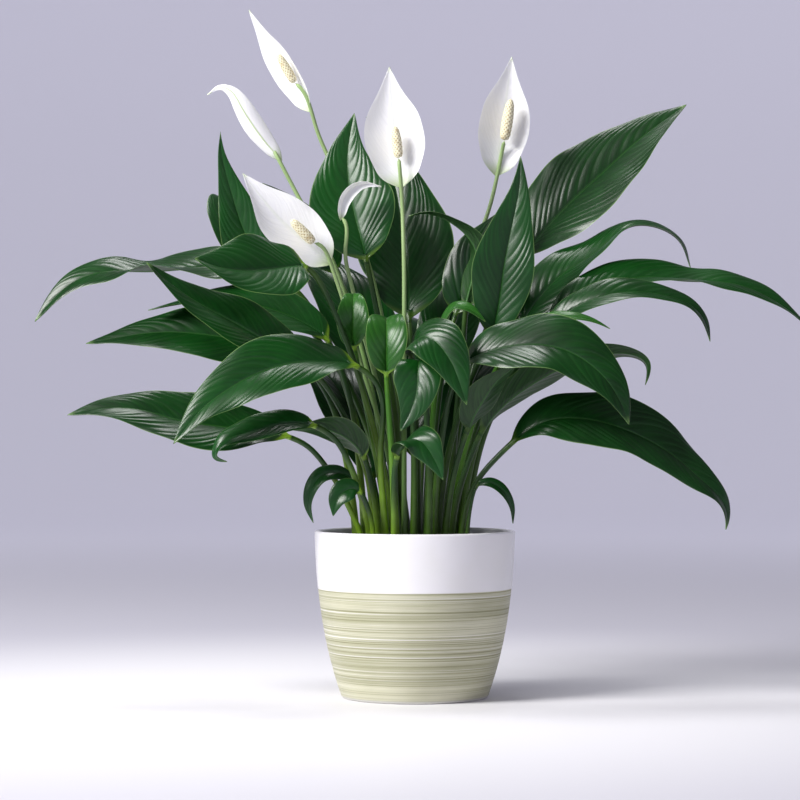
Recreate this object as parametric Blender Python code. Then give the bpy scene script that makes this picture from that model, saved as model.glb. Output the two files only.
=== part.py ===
"""A potted peace lily: an arum-like house plant with white flowers, in its nursery pot and outer pot.

Everything stands on the underside of the outer pot, whose axis is the Z axis.  Sizes and places are in
millimetres here and become metres when a mesh is made.  The plant grows from the soil, so every height
of a leaf or a flower is measured up from the soil's surface, and -Y is the plant's best side.

Each leaf, with its stalk, is one grown piece.  It is a chain of rings: round rings along the stalk, then
flat folded rings along the blade, with one point at the foot and one at the tip.
"""

import math
from dataclasses import dataclass

import bmesh
import bpy
from mathutils import Quaternion, Vector

MM = 0.001

# ---------------------------------------------------------------- driving dimensions, in millimetres
RIM_DIAMETER = 150.0
POT_HEIGHT = 125.0
BASE_DIAMETER = 108.0
FOOT_EDGE_HEIGHT = 2.5
FOOT_EDGE_WIDTH = 1.5
POT_WALL = 3.5
POT_FLOOR = 5.0
RIM_ROUNDING = 1.2
BAND_HEIGHT = 43.0

NURSERY_WALL = 1.2
NURSERY_ROOM = 3.0
NURSERY_DROP = 5.0
NURSERY_TAPER = 14.0
NURSERY_LIP_WIDTH = 2.2
NURSERY_LIP_HEIGHT = 7.0
NURSERY_SHOULDER = 1.0

SOIL_DROP = 8.0
SOIL_MOUND = 1.2
SOIL_MOUND_WIDTH = 5.0

PLANT_HEIGHT = 392.0
STALK_RADIUS = 2.0
SHEATH_RADIUS = 3.1
SCAPE_RADIUS = 1.6
BLADE_THICKNESS = 0.8
MIDRIB_THICKNESS = 1.5
SPATHE_THICKNESS = 0.8
SPATHE_STAND_OFF = 3.1

TOUCH_GAP = 0.3
POT_GAP = 0.45

# ---------------------------------------------------------------- how finely the shapes are cut
POT_SIDES = 48
RING_POINTS = 8
STALK_RINGS = 6
BLADE_STATIONS = (0.05, 0.13, 0.25, 0.38, 0.52, 0.66, 0.79, 0.9, 0.97)
SCAPE_RINGS = 11
SPATHE_STATIONS = (0.06, 0.18, 0.32, 0.47, 0.62, 0.76, 0.88, 0.96)
CURVE_STEPS = 24
FIRST_RING = 0.6
LAST_RING = 0.5

# rings of the outer pot's side, as shares of its height; the band's lower edge adds one more
POT_RING_SHARES = (0.0, 0.05, 0.12, 0.22, 0.35, 0.5, 0.82, 1.0)
# a spadix: shares of its length, and of its greatest radius
SPADIX_PROFILE = ((0.03, 0.62), (0.12, 0.9), (0.35, 1.0), (0.62, 0.95), (0.85, 0.75), (0.96, 0.42))

# ---------------------------------------------------------------- what follows from the sizes above
RIM_RADIUS = RIM_DIAMETER / 2
BASE_RADIUS = BASE_DIAMETER / 2
SOIL_TOP = POT_HEIGHT - SOIL_DROP
NURSERY_FOOT = POT_FLOOR + TOUCH_GAP
NURSERY_TOP = POT_HEIGHT - NURSERY_DROP
NURSERY_NECK = NURSERY_TOP - NURSERY_LIP_HEIGHT - NURSERY_SHOULDER
DRAWN_HEIGHT = 392.0
HEIGHT_SCALE = PLANT_HEIGHT / DRAWN_HEIGHT


@dataclass(frozen=True)
class Leaf:
    """One leaf.  route: (x, y, up) points from foot to tip; neck: which of them ends the stalk.

    heading is the compass direction, in degrees from +X towards +Y, that the leaf leans to, and roll
    turns the blade about its own midrib, at evenly spaced places from neck to tip.
    """

    name: str
    route: tuple
    neck: int
    width: float
    heading: float
    roll: tuple
    fold: float = 16.0
    wave: float = 1.5
    taper: float = 0.3
    sheath: float = SHEATH_RADIUS


@dataclass(frozen=True)
class Flower:
    """One flower.  scape: its stalk, whose end carries the spadix; spathe: the white leaf's midline."""

    name: str
    scape: tuple
    spathe: tuple
    width: float
    facing: tuple
    cup: float
    spadix_tip: tuple = None
    spadix_radius: float = 4.0


LEFT_LEAVES = (
    Leaf("leaf_far_left",
         ((-28, 16, 0), (-38, 19, 60), (-56, 24, 125), (-76, 28, 170), (-97, 30, 196), (-140, 31, 207),
          (-199, 31, 204), (-244, 30, 202), (-270, 29, 187), (-289, 28, 165)),
         4, 52, 180, (-30, -34, -8, -46, -55), 14, 2.0),
    Leaf("leaf_left_arched",
         ((-15, -18, 0), (-28, -22, 70), (-48, -29, 140), (-65, -37, 180), (-80, -46, 202), (-98, -60, 201),
          (-118, -76, 198), (-138, -92, 199), (-157, -106, 205)),
         4, 62, 215, (-40, -48, -50, -45), 12, 1.0, 0.1),
    Leaf("leaf_left_pointed",
         ((-30, -12, 0), (-36, -14, 50), (-54, -20, 95), (-77, -29, 128), (-107, -36, 147), (-135, -40, 163),
          (-160, -43, 177), (-180, -45, 191), (-197, -46, 206)),
         3, 46, 180, (-40, -50, -45), 14, 1.0, 0.4),
    Leaf("leaf_left_hidden",
         ((-38, 4, 0), (-42, 5, 55), (-50, 6, 110), (-66, 7, 150), (-88, 8, 166), (-116, 8, 176),
          (-146, 8, 181), (-176, 8, 178), (-201, 8, 173)),
         3, 46, 180, (-40, -45, -25, -5), 14, 1.0),
    Leaf("leaf_left_pale_tip",
         ((-44, -6, 0), (-50, -4, 50), (-64, 0, 105), (-90, 4, 138), (-118, 6, 148), (-146, 8, 153),
          (-172, 9, 156), (-200, 10, 156), (-225, 10, 152), (-248, 10, 148)),
         3, 50, 180, (-50, -55, -50, -40), 10, 1.5),
    Leaf("leaf_low_left",
         ((-38, -18, 0), (-46, -20, 18), (-60, -22, 46), (-77, -24, 68), (-94, -26, 78), (-122, -28, 83),
          (-150, -30, 86), (-178, -31, 91), (-204, -32, 98), (-230, -32, 99), (-257, -32, 94)),
         4, 52, 180, (-35, -50, -50, -45), 10, 2.0, 0.3, 2.2),
    Leaf("leaf_front_left",
         ((-22, -30, 0), (-26, -36, 60), (-24, -42, 98), (-30, -47, 120), (-42, -51, 130), (-64, -57, 133),
          (-87, -63, 132), (-110, -68, 126), (-131, -73, 115), (-152, -78, 100), (-174, -84, 73)),
         4, 52, 195, (-30, -50, -55, -50), 12, 1.5),
    Leaf("leaf_left_curled",
         ((-32, -30, 0), (-42, -38, 40), (-56, -46, 72), (-74, -51, 86), (-96, -53, 88), (-114, -54, 83),
          (-131, -55, 79), (-144, -56, 71), (-145, -56, 63), (-137, -56, 60)),
         3, 27, 180, (-40, -45, -45, -30), 14, 0.5, 0.2),
    Leaf("leaf_left_underside",
         ((-27, -22, 0), (-31, -25, 35), (-38, -29, 63), (-50, -34, 77), (-68, -40, 84), (-90, -46, 83)),
         2, 28, 195, (30, 45, 40), 14, 0.5),
    Leaf("leaf_small_hooked",
         ((-34, -24, 0), (-38, -25, 25), (-46, -26, 45), (-56, -28, 51), (-68, -29, 50), (-76, -30, 41),
          (-79, -30, 28), (-75, -30, 14)),
         2, 13, 180, (-55, -60, -60), 10, 0.0, 0.2, 1.8),
    Leaf("leaf_small_front_left",
         ((-30, -38, 0), (-34, -42, 22), (-41, -46, 38), (-50, -49, 39), (-57, -51, 32), (-60, -52, 20)),
         2, 18, 190, (-60, -65, -60), 12, 0.0, 0.3, 1.8),
)

UPRIGHT_LEAVES = (
    Leaf("leaf_upright_left",
         ((-18, 26, 0), (-30, 34, 65), (-52, 44, 120), (-74, 51, 152), (-94, 56, 178), (-118, 60, 210),
          (-133, 63, 240), (-142, 64, 268), (-149, 64, 295), (-150, 62, 314)),
         4, 44, 95, (0, 0, 5, 10), 16, 1.0, 0.75),
    Leaf("leaf_upright_left_back",
         ((-12, 38, 0), (-32, 50, 80), (-66, 66, 140), (-98, 78, 182), (-120, 86, 206), (-140, 94, 232),
          (-151, 104, 254), (-152, 118, 266), (-146, 136, 262)),
         4, 40, 110, (10, 10, 10), 16, 1.0),
    Leaf("leaf_left_dark_tip",
         ((-5, 40, 0), (-18, 52, 90), (-40, 64, 160), (-62, 74, 205), (-82, 80, 233), (-100, 84, 256),
          (-119, 87, 276)),
         3, 40, 110, (0, 0, 0), 16, 1.0, 0.2),
    Leaf("leaf_upright_centre_left",
         ((-9, 12, 0), (-13, 14, 80), (-24, 17, 150), (-37, 22, 212), (-44, 29, 240), (-50, 36, 268),
          (-51, 41, 296), (-46, 44, 326)),
         3, 66, 85, (0, 0, 0, 0), 14, 1.0, 0.55),
    Leaf("leaf_upright_centre",
         ((3, 24, 0), (1, 30, 90), (-4, 40, 168), (-5, 58, 202), (-9, 76, 238), (-15, 90, 274),
          (-25, 100, 306), (-38, 106, 330)),
         2, 76, 88, (0, 0, 0, 0), 10, 1.5, 0.6),
    Leaf("leaf_arching_inward",
         ((24, 18, 0), (30, 16, 80), (36, 12, 144), (39, 10, 176), (44, 9, 197), (47, 8, 213),
          (43, 8, 225), (32, 8, 236), (20, 8, 243), (8, 8, 246), (-5, 8, 244)),
         3, 32, 180, (60, 45, 15, 5, 0), 16, 0.0),
    Leaf("leaf_upright_right",
         ((16, -4, 0), (24, -5, 60), (40, -7, 115), (57, -9, 153), (63, -10, 181), (67, -11, 209),
          (73, -11, 238), (78, -10, 264), (79, -8, 288)),
         3, 47, 80, (0, 5, 10, 10), 18, 0.5, 0.55),
    Leaf("leaf_behind_right",
         ((12, 30, 0), (16, 34, 80), (24, 37, 140), (32, 39, 172), (42, 40, 197), (54, 42, 220),
          (68, 44, 240), (84, 46, 260)),
         3, 46, 70, (0, 0, 0), 14, 1.0),
)

RIGHT_LEAVES = (
    Leaf("leaf_right_high",
         ((22, 38, 0), (34, 48, 80), (52, 58, 150), (68, 63, 188), (84, 66, 217), (116, 69, 254),
          (147, 71, 283), (178, 73, 311), (212, 75, 336)),
         4, 76, 0, (45, 52, 50, 40), 14, 1.0, 0.2),
    Leaf("leaf_right_twisted",
         ((30, 18, 0), (40, 20, 60), (56, 23, 110), (74, 26, 150), (92, 29, 180), (112, 31, 201),
          (131, 31, 213), (148, 30, 225), (160, 29, 236), (175, 29, 238), (190, 29, 235), (202, 29, 226),
          (210, 29, 206)),
         3, 46, 0, (50, 50, 20, 10, 20), 14, 1.0, 0.2),
    Leaf("leaf_far_right",
         ((38, 8, 0), (44, 8, 45), (55, 8, 85), (70, 7, 115), (86, 5, 140), (100, 1, 160), (116, -1, 175),
          (138, 0, 188), (163, 4, 197), (188, 5, 197), (214, 4, 194), (240, 3, 193), (265, 2, 183),
          (285, 1, 169), (297, 0, 158)),
         5, 46, 0, (45, 42, 18, 32, 25), 14, 2.0, 0.1),
    Leaf("leaf_right_drooping",
         ((34, -2, 0), (40, -2, 45), (51, -3, 85), (66, -6, 114), (83, -11, 138), (97, -16, 156),
          (114, -22, 171), (138, -28, 182), (163, -30, 185), (182, -30, 183), (198, -30, 178),
          (209, -30, 171), (215, -30, 160), (218, -30, 148)),
         5, 30, 0, (40, 38, 30, 40), 14, 0.5, 0.1),
    Leaf("leaf_right_small_light",
         ((27, -3, 0), (36, -5, 60), (50, -8, 105), (65, -15, 135), (82, -26, 155), (98, -38, 164),
          (114, -45, 166), (130, -47, 163), (143, -48, 157)),
         4, 15, 0, (30, 30, 30), 14, 0.0),
    Leaf("leaf_front_right",
         ((14, -28, 0), (18, -36, 60), (26, -44, 108), (36, -50, 131), (55, -57, 141), (82, -65, 145),
          (105, -71, 142), (125, -77, 131), (139, -82, 117), (148, -86, 101), (153, -89, 87)),
         3, 52, 345, (40, 50, 55, 50), 12, 2.5, 0.1),
    Leaf("leaf_right_underside",
         ((26, -14, 0), (34, -17, 40), (50, -20, 82), (66, -22, 102), (88, -24, 118), (113, -26, 131),
          (138, -28, 138), (161, -29, 139), (172, -30, 130), (170, -30, 116)),
         2, 40, 0, (-30, -35, -30, -20), 14, 0.5),
    Leaf("leaf_right_inner",
         ((22, -26, 0), (28, -31, 45), (39, -38, 84), (48, -44, 102), (59, -49, 118), (73, -53, 130)),
         2, 32, 0, (-40, -50, -45), 14, 0.5),
    Leaf("leaf_low_right",
         ((34, -26, 0), (40, -28, 32), (53, -31, 54), (72, -34, 73), (86, -36, 85), (104, -38, 91),
          (123, -40, 91), (147, -42, 86), (168, -44, 77), (188, -46, 65), (207, -48, 49), (222, -49, 34),
          (228, -50, 22), (227, -50, 10)),
         3, 54, 0, (30, 50, 50, 40), 10, 3.0, 0.2, 2.4),
    Leaf("leaf_small_right",
         ((38, -34, 0), (41, -35, 25), (46, -36, 42), (56, -37, 44), (65, -38, 38), (71, -38, 27),
          (72, -38, 14)),
         2, 9, 0, (50, 50, 50), 10, 0.0, 0.2, 1.8),
)

CENTRE_LEAVES = (
    Leaf("leaf_centre_short",
         ((-14, -36, 0), (-17, -42, 60), (-21, -48, 124), (-21, -48, 143), (-21, -43, 158), (-21, -32, 165),
          (-21, -12, 166)),
         2, 32, 90, (0, 0, 0), 26, 0.0, 0.1),
    Leaf("leaf_centre_left_short",
         ((-18, -8, 0), (-30, -14, 70), (-45, -22, 144), (-46, -23, 160), (-46, -20, 174), (-46, -14, 182),
          (-46, -3, 185)),
         2, 25, 90, (0, 0, 0), 26, 0.0, 0.1),
    Leaf("leaf_centre_bright",
         ((0, -32, 0), (0, -36, 60), (-2, -40, 115), (-3, -44, 137), (0, -51, 148), (7, -58, 151),
          (16, -65, 146), (26, -71, 132), (32, -75, 117), (37, -78, 101)),
         3, 38, 320, (30, 45, 45, 40), 12, 1.0),
    Leaf("leaf_centre_hanging",
         ((10, -40, 0), (10, -46, 60), (7, -50, 108), (4, -53, 126), (3, -57, 134), (2, -62, 127),
          (1, -66, 111), (-4, -67, 95), (-11, -67, 82)),
         3, 34, 270, (0, 10, 10), 10, 0.5),
    Leaf("leaf_small_front",
         ((-14, -48, 0), (-15, -55, 40), (-13, -62, 64), (-6, -70, 75), (4, -76, 75), (13, -80, 63),
          (20, -83, 47)),
         2, 27, 300, (20, 35, 35), 12, 0.0),
    Leaf("leaf_centre_small_right",
         ((10, -14, 0), (13, -18, 80), (20, -23, 148), (24, -25, 166), (31, -27, 174), (41, -29, 172),
          (52, -31, 163)),
         2, 18, 340, (30, 30, 30), 16, 0.0),
)

BACK_LEAVES = (
    Leaf("leaf_back_low_left",
         ((-24, 32, 0), (-32, 52, 45), (-44, 72, 85), (-60, 94, 115), (-78, 120, 132), (-98, 152, 132),
          (-120, 180, 112)),
         1, 56, 110, (0, 5, 5), 14, 2.0),
    Leaf("leaf_back_low_right",
         ((24, 44, 0), (28, 60, 50), (36, 80, 90), (49, 102, 124), (68, 126, 147), (94, 152, 155),
          (122, 180, 142)),
         1, 56, 70, (0, -5, -5), 14, 2.0),
    Leaf("leaf_back_centre",
         ((0, 48, 0), (0, 64, 62), (0, 84, 112), (2, 108, 150), (4, 134, 170), (4, 162, 165),
          (2, 190, 135)),
         1, 58, 90, (0, 5, 0), 14, 2.0),
    Leaf("leaf_back_high_right",
         ((8, 40, 0), (14, 62, 110), (24, 80, 152), (36, 98, 186), (48, 120, 205), (60, 144, 207),
          (72, 166, 192)),
         1, 50, 75, (0, 0, 0), 14, 1.5),
    Leaf("leaf_back_high_left",
         ((-14, 46, 0), (-20, 62, 106), (-37, 76, 149), (-55, 90, 184), (-72, 108, 208), (-90, 130, 218),
          (-108, 154, 208)),
         1, 64, 115, (0, 0, 0), 14, 1.5),
)

LEAVES = LEFT_LEAVES + UPRIGHT_LEAVES + RIGHT_LEAVES + CENTRE_LEAVES + BACK_LEAVES

FLOWERS = (
    Flower("flower_left_high",
           ((-6, 26, 0), (-14, 34, 100), (-30, 41, 190), (-50, 53, 250), (-67, 59, 295), (-80, 59, 325),
            (-87, 57, 340), (-92, 54, 350)),
           ((-80, 59, 328), (-87, 61, 345), (-100, 63, 367), (-114, 62, 387), (-128, 59, 407)),
           30, (-0.75, -0.65, -0.1), 24, (-105, 50, 372), 3.6),
    Flower("flower_left_bent",
           ((-20, 12, 0), (-28, 17, 90), (-46, 23, 165), (-67, 28, 222), (-85, 30, 253), (-101, 31, 285),
            (-105, 33, 292), (-109, 36, 299)),
           ((-101, 31, 288), (-112, 29, 300), (-122, 27, 313), (-131, 26, 327), (-138, 27, 339),
            (-148, 29, 344), (-158, 32, 338)),
           19, (0.35, 1, -0.2), 30, (-123, 38, 318), 3.0),
    Flower("flower_left_low",
           ((-12, 0, 0), (-22, 0, 70), (-42, 0, 136), (-56, -3, 186), (-63, -8, 206), (-69, -13, 215),
            (-75, -17, 222)),
           ((-63, -8, 207), (-78, -10, 221), (-98, -12, 238), (-114, -14, 256), (-128, -16, 274)),
           44, (0.1, -1, 0.35), 20, (-92, -22, 239), 4.0),
    Flower("flower_centre",
           ((-8, -30, 0), (-8, -28, 60), (-8, -16, 130), (-8, -6, 200), (-9, -3, 240), (-10, -2, 262),
            (-11, -5, 274), (-12, -7, 286)),
           ((-10, -2, 264), (-13, 0, 284), (-16, 1, 309), (-18, 1, 332), (-19, -2, 355)),
           47, (0, -1, 0), 18, (-15, -8, 310), 3.9),
    Flower("flower_right",
           ((3, 30, 0), (8, 37, 80), (20, 46, 150), (36, 52, 202), (54, 54, 243), (63, 53, 275),
            (66, 50, 290), (69, 48, 305)),
           ((63, 53, 278), (66, 55, 301), (69, 56, 324), (72, 55, 348), (75, 52, 370)),
           42, (0.15, -1, 0), 20, (74, 46, 337), 4.4),
    Flower("flower_bud",
           ((-12, 8, 0), (-20, 8, 80), (-35, 8, 140), (-46, 8, 182), (-53, 8, 220), (-55, 8, 243)),
           ((-55, 8, 240), (-54, 8, 254), (-48, 8, 264), (-38, 8, 268), (-25, 8, 266)),
           15, (0.3, -1, -0.3), 50),
)


# ---------------------------------------------------------------- curves and frames
def lifted(point):
    """A drawn point of the plant in its place above the outer pot's underside, in millimetres."""
    x, y, up = point
    return Vector((x, y, SOIL_TOP + TOUCH_GAP + up * HEIGHT_SCALE))


def smooth_points(points):
    """Points on a smooth curve through the given ones, CURVE_STEPS to each stretch."""
    last = len(points) - 1
    curve = []
    for i in range(last):
        before = points[max(i - 1, 0)]
        start = points[i]
        end = points[i + 1]
        after = points[min(i + 2, last)]
        for step in range(CURVE_STEPS):
            t = step / CURVE_STEPS
            curve.append(0.5 * (2 * start + (end - before) * t
                                + (2 * before - 5 * start + 4 * end - after) * t ** 2
                                + (3 * start - before - 3 * end + after) * t ** 3))
    curve.append(points[last])
    return curve


class Route:
    """A smooth curve that can be asked for its place and direction at any length along it."""

    def __init__(self, points):
        self.curve = smooth_points(points)
        self.lengths = [0.0]
        for a, b in zip(self.curve, self.curve[1:]):
            self.lengths.append(self.lengths[-1] + (b - a).length)

    @property
    def length(self):
        return self.lengths[-1]

    def length_at_point(self, index):
        return self.lengths[index * CURVE_STEPS]

    def place(self, length):
        for i in range(1, len(self.curve)):
            if self.lengths[i] >= length:
                span = self.lengths[i] - self.lengths[i - 1]
                return self.curve[i - 1].lerp(self.curve[i], (length - self.lengths[i - 1]) / span)
        return self.curve[-1].copy()

    def direction(self, length):
        reach = self.length * 0.01
        ahead = self.place(min(length + reach, self.length))
        return (ahead - self.place(max(length - reach, 0.0))).normalized()


def between(values, t):
    """The value at t, from 0 to 1, along evenly spaced values, eased from each to the next."""
    place = t * (len(values) - 1)
    i = min(int(place), len(values) - 2)
    part = place - i
    ease = part * part * (3 - 2 * part)
    return values[i] + (values[i + 1] - values[i]) * ease


def frame_by_heading(tangent, heading, roll):
    """(side, up face) of a leaf that leans towards a heading, turned about its midrib by roll degrees."""
    angle = math.radians(heading)
    across = Vector((-math.sin(angle), math.cos(angle), 0.0))
    side = (across - across.dot(tangent) * tangent).normalized()
    side.rotate(Quaternion(tangent, math.radians(roll)))
    return side, tangent.cross(side)


def frame_by_facing(tangent, facing):
    """(side, up face) of an organ whose inner face looks towards a direction."""
    face = (facing - facing.dot(tangent) * tangent).normalized()
    return face.cross(tangent), face


# ---------------------------------------------------------------- rings
def round_ring(centre, side, face, radius):
    """The points of a stalk's ring: first the left edge, then over the upper face to the right edge."""
    ring = []
    for i in range(RING_POINTS):
        angle = math.pi - i * 2 * math.pi / RING_POINTS
        ring.append(centre - side * (radius * math.cos(angle)) + face * (radius * math.sin(angle)))
    return ring


def blade_ring(centre, side, face, half_width, fold, bulge, edges, thickness, rib):
    """The points of a blade's ring, in a round ring's order.

    Each half rises by the fold angle and bulges between midrib and margin; edges lifts the two margins.
    """
    def across(share, lift, offset):
        rise = abs(share) * half_width * math.sin(fold) + lift
        return centre - side * (share * half_width * math.cos(fold)) + face * (rise + offset)

    left, right = edges
    return [
        across(-1.0, left, 0.0),
        across(-0.5, bulge + left * 0.35, thickness / 2),
        across(0.0, 0.0, rib * 0.35),
        across(0.5, bulge + right * 0.35, thickness / 2),
        across(1.0, right, 0.0),
        across(0.5, bulge + right * 0.35, -thickness / 2),
        across(0.0, 0.0, -rib * 0.65),
        across(-0.5, bulge + left * 0.35, -thickness / 2),
    ]


def ring_body(foot, rings, tip):
    """A closed mesh from a foot point, rings of equal point counts and a tip point."""
    mesh = bmesh.new()
    made = [[mesh.verts.new(point * MM) for point in ring] for ring in rings]
    foot_vert = mesh.verts.new(foot * MM)
    tip_vert = mesh.verts.new(tip * MM)
    for i in range(RING_POINTS):
        j = (i + 1) % RING_POINTS
        mesh.faces.new((foot_vert, made[0][j], made[0][i]))
        mesh.faces.new((tip_vert, made[-1][i], made[-1][j]))
        for lower, upper in zip(made, made[1:]):
            mesh.faces.new((lower[i], lower[j], upper[j], upper[i]))
    bmesh.ops.triangulate(mesh, faces=mesh.faces[:])
    bmesh.ops.recalc_face_normals(mesh, faces=mesh.faces[:])
    return mesh


# ---------------------------------------------------------------- leaves and flowers
def blade_outline(t, taper):
    """Half-width of a blade as a share of its greatest, at t from neck to tip; taper slims the outer half."""
    body = math.sin(math.pi * t ** 0.74) ** 0.85
    return body * (1.0 - taper * max(0.0, (t - 0.4) / 0.6))


def spathe_outline(t):
    """Half-width of a spathe as a share of its greatest: an egg shape with a drawn-out tip."""
    body = math.sin(math.pi * t ** 0.77) ** 0.8
    return body * (1.0 - 0.5 * max(0.0, (t - 0.6) / 0.4))


def stalk_radius(leaf, t):
    """A small leaf has a thinner stalk, and every stalk widens to its sheath at the foot."""
    slim = min(STALK_RADIUS, leaf.width * 0.09 + 0.3)
    return slim + max(leaf.sheath - slim, 0.0) * (1 - t) ** 2


def stalk_rings(leaf, route, neck):
    rings = []
    for i in range(STALK_RINGS):
        t = i / STALK_RINGS
        length = FIRST_RING + (neck - FIRST_RING) * t
        tangent = route.direction(length) if i else Vector((0, 0, 1))
        side, face = frame_by_heading(tangent, leaf.heading, leaf.roll[0])
        rings.append(round_ring(route.place(length), side, face, stalk_radius(leaf, t)))
    return rings


def margin_lift(leaf, number, outline):
    """How far each margin waves up or down at a station, in millimetres."""
    swing = leaf.wave * outline
    return swing * math.sin(number * 2.1), swing * math.cos(number * 1.7)


def rib_depth(t):
    """The midrib is thickest where the stalk runs into it and thins to the tip."""
    swelling = max(0.0, 1 - t / BLADE_STATIONS[1])
    return MIDRIB_THICKNESS * (1 - 0.6 * t + swelling)


def leaf_rings(leaf, route):
    neck = route.length_at_point(leaf.neck)
    rings = stalk_rings(leaf, route, neck)
    for number, t in enumerate(BLADE_STATIONS):
        length = neck + (route.length - neck) * t
        tangent = route.direction(length)
        side, face = frame_by_heading(tangent, leaf.heading, between(leaf.roll, t))
        outline = blade_outline(t, leaf.taper)
        half = leaf.width / 2 * outline + BLADE_THICKNESS * (1 - t)
        fold = math.radians(leaf.fold * (1 - 0.35 * t))
        rings.append(blade_ring(route.place(length), side, face, half, fold, half * 0.05,
                                margin_lift(leaf, number, outline), BLADE_THICKNESS, rib_depth(t)))
    return rings


def make_leaf(leaf):
    route = Route([lifted(point) for point in leaf.route])
    rings = leaf_rings(leaf, route)
    return ring_body(route.place(0.0), rings, route.place(route.length))


def scape_rings(route, end_length):
    rings = []
    for i in range(SCAPE_RINGS):
        t = i / (SCAPE_RINGS - 1)
        length = FIRST_RING + (end_length - FIRST_RING) * t
        tangent = route.direction(length) if i else Vector((0, 0, 1))
        side, face = frame_by_facing(tangent, Vector((0, -1, 0)))
        rings.append(round_ring(route.place(length), side, face, SCAPE_RADIUS * (1.25 - 0.35 * t)))
    return rings


def make_scape(flower):
    route = Route([lifted(point) for point in flower.scape])
    rings = scape_rings(route, route.length - LAST_RING)
    return ring_body(route.place(0.0), rings, route.place(route.length))


def scape_clearance(points, rings, tip):
    """Least distance, in millimetres, from some points to the scape through its rings and its tip."""
    centres = [sum(ring, Vector()) / RING_POINTS for ring in rings] + [tip]
    radii = [(ring[0] - ring[4]).length / 2 * math.cos(math.pi / RING_POINTS) for ring in rings] + [0.0]
    least = math.inf
    for point in points:
        for i in range(len(rings)):
            line = centres[i + 1] - centres[i]
            share = (point - centres[i]).dot(line) / line.length_squared
            if share > 1 and i == len(rings) - 2:
                continue
            share = min(max(share, 0.0), 1.0)
            radius = radii[i] + (radii[i + 1] - radii[i]) * share
            least = min(least, (point - centres[i] - line * share).length - radius)
    return least


def spathe_rings(flower, route, offset):
    """The spathe's foot and rings, moved back by offset at the foot and less and less towards the tip."""
    facing = Vector(flower.facing).normalized()
    rings = []
    for t in SPATHE_STATIONS:
        length = route.length * t
        side, face = frame_by_facing(route.direction(length), facing)
        half = flower.width / 2 * spathe_outline(t)
        place = route.place(length) - facing * offset * (1 - t)
        rings.append(blade_ring(place, side, face, half, math.radians(flower.cup), -half * 0.10,
                                (0.0, 0.0), SPATHE_THICKNESS, SPATHE_THICKNESS * 1.3))
    return route.place(0.0) - facing * offset, rings


def spathe_points(foot, rings):
    """Points spread over the foot end of a spathe, to measure from."""
    points = []
    for lower, upper in zip([[foot] * RING_POINTS] + rings[:3], rings[:4]):
        for a, b in zip(lower, upper):
            points += [a.lerp(b, step / 8) for step in range(9)]
    return points


def make_spathe(flower):
    """The white leaf that stands behind the spadix, its foot brought up to the scape's back."""
    route = Route([lifted(point) for point in flower.spathe])
    scape_route = Route([lifted(point) for point in flower.scape])
    scape = scape_rings(scape_route, scape_route.length - LAST_RING)
    tip = scape_route.place(scape_route.length)
    near, far = -SPATHE_STAND_OFF / 2, SPATHE_STAND_OFF
    for _ in range(12):
        middle = (near + far) / 2
        if scape_clearance(spathe_points(*spathe_rings(flower, route, middle)), scape, tip) > TOUCH_GAP:
            far = middle
        else:
            near = middle
    foot, rings = spathe_rings(flower, route, far)
    return ring_body(foot, rings, route.place(route.length))


def make_spadix(flower):
    base = lifted(flower.scape[-1])
    tip = lifted(flower.spadix_tip)
    axis = (tip - base).normalized()
    base = base + axis * TOUCH_GAP
    side, face = frame_by_facing(axis, Vector((0, -1, 0)))
    rings = []
    for t, share in SPADIX_PROFILE:
        rings.append(round_ring(base.lerp(tip, t), side, face, flower.spadix_radius * share))
    return ring_body(base, rings, tip)


# ---------------------------------------------------------------- pots and soil
def turned(profile, sides=POT_SIDES):
    """A closed turned body from an outline of (radius, height) points that starts and ends on the axis."""
    mesh = bmesh.new()
    verts = [mesh.verts.new((radius * MM, 0.0, height * MM)) for radius, height in profile]
    edges = [mesh.edges.new(pair) for pair in zip(verts, verts[1:])]
    bmesh.ops.spin(mesh, geom=verts + edges, cent=(0, 0, 0), axis=(0, 0, 1), angle=2 * math.pi,
                   steps=sides, use_merge=True)
    bmesh.ops.remove_doubles(mesh, verts=mesh.verts[:], dist=1e-6)
    bmesh.ops.recalc_face_normals(mesh, faces=mesh.faces[:])
    return mesh


def pot_radius(height):
    """Outer radius of the outer pot at a height: it swells out from the foot, then rises almost straight."""
    foot_radius = BASE_RADIUS + FOOT_EDGE_WIDTH
    share = (height - FOOT_EDGE_HEIGHT) / (POT_HEIGHT - FOOT_EDGE_HEIGHT)
    share = min(max(share, 0.0), 1.0)
    swell = 0.8 * (1 - (1 - share) ** 2.5) + 0.2 * share
    return foot_radius + (RIM_RADIUS - foot_radius) * swell


def pot_side():
    """Outer side of the outer pot from its foot edge to its top, with a ring at the band's lower edge."""
    heights = [FOOT_EDGE_HEIGHT + (POT_HEIGHT - FOOT_EDGE_HEIGHT) * share for share in POT_RING_SHARES]
    heights.append(POT_HEIGHT - BAND_HEIGHT)
    return [(pot_radius(height), height) for height in sorted(heights)]


def make_outer_pot():
    side = pot_side()
    inside = RIM_RADIUS - POT_WALL
    outline = [(0.0, 0.0), (BASE_RADIUS, 0.0)]
    outline += side[:-1]
    outline += [(RIM_RADIUS, POT_HEIGHT - RIM_ROUNDING), (RIM_RADIUS - RIM_ROUNDING, POT_HEIGHT),
                (inside + RIM_ROUNDING / 2, POT_HEIGHT), (inside, POT_HEIGHT - RIM_ROUNDING)]
    outline += [(radius - POT_WALL, height) for radius, height in reversed(side[1:-1])]
    outline += [(side[0][0] - POT_WALL, POT_FLOOR), (0.0, POT_FLOOR)]
    return turned(outline)


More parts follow.
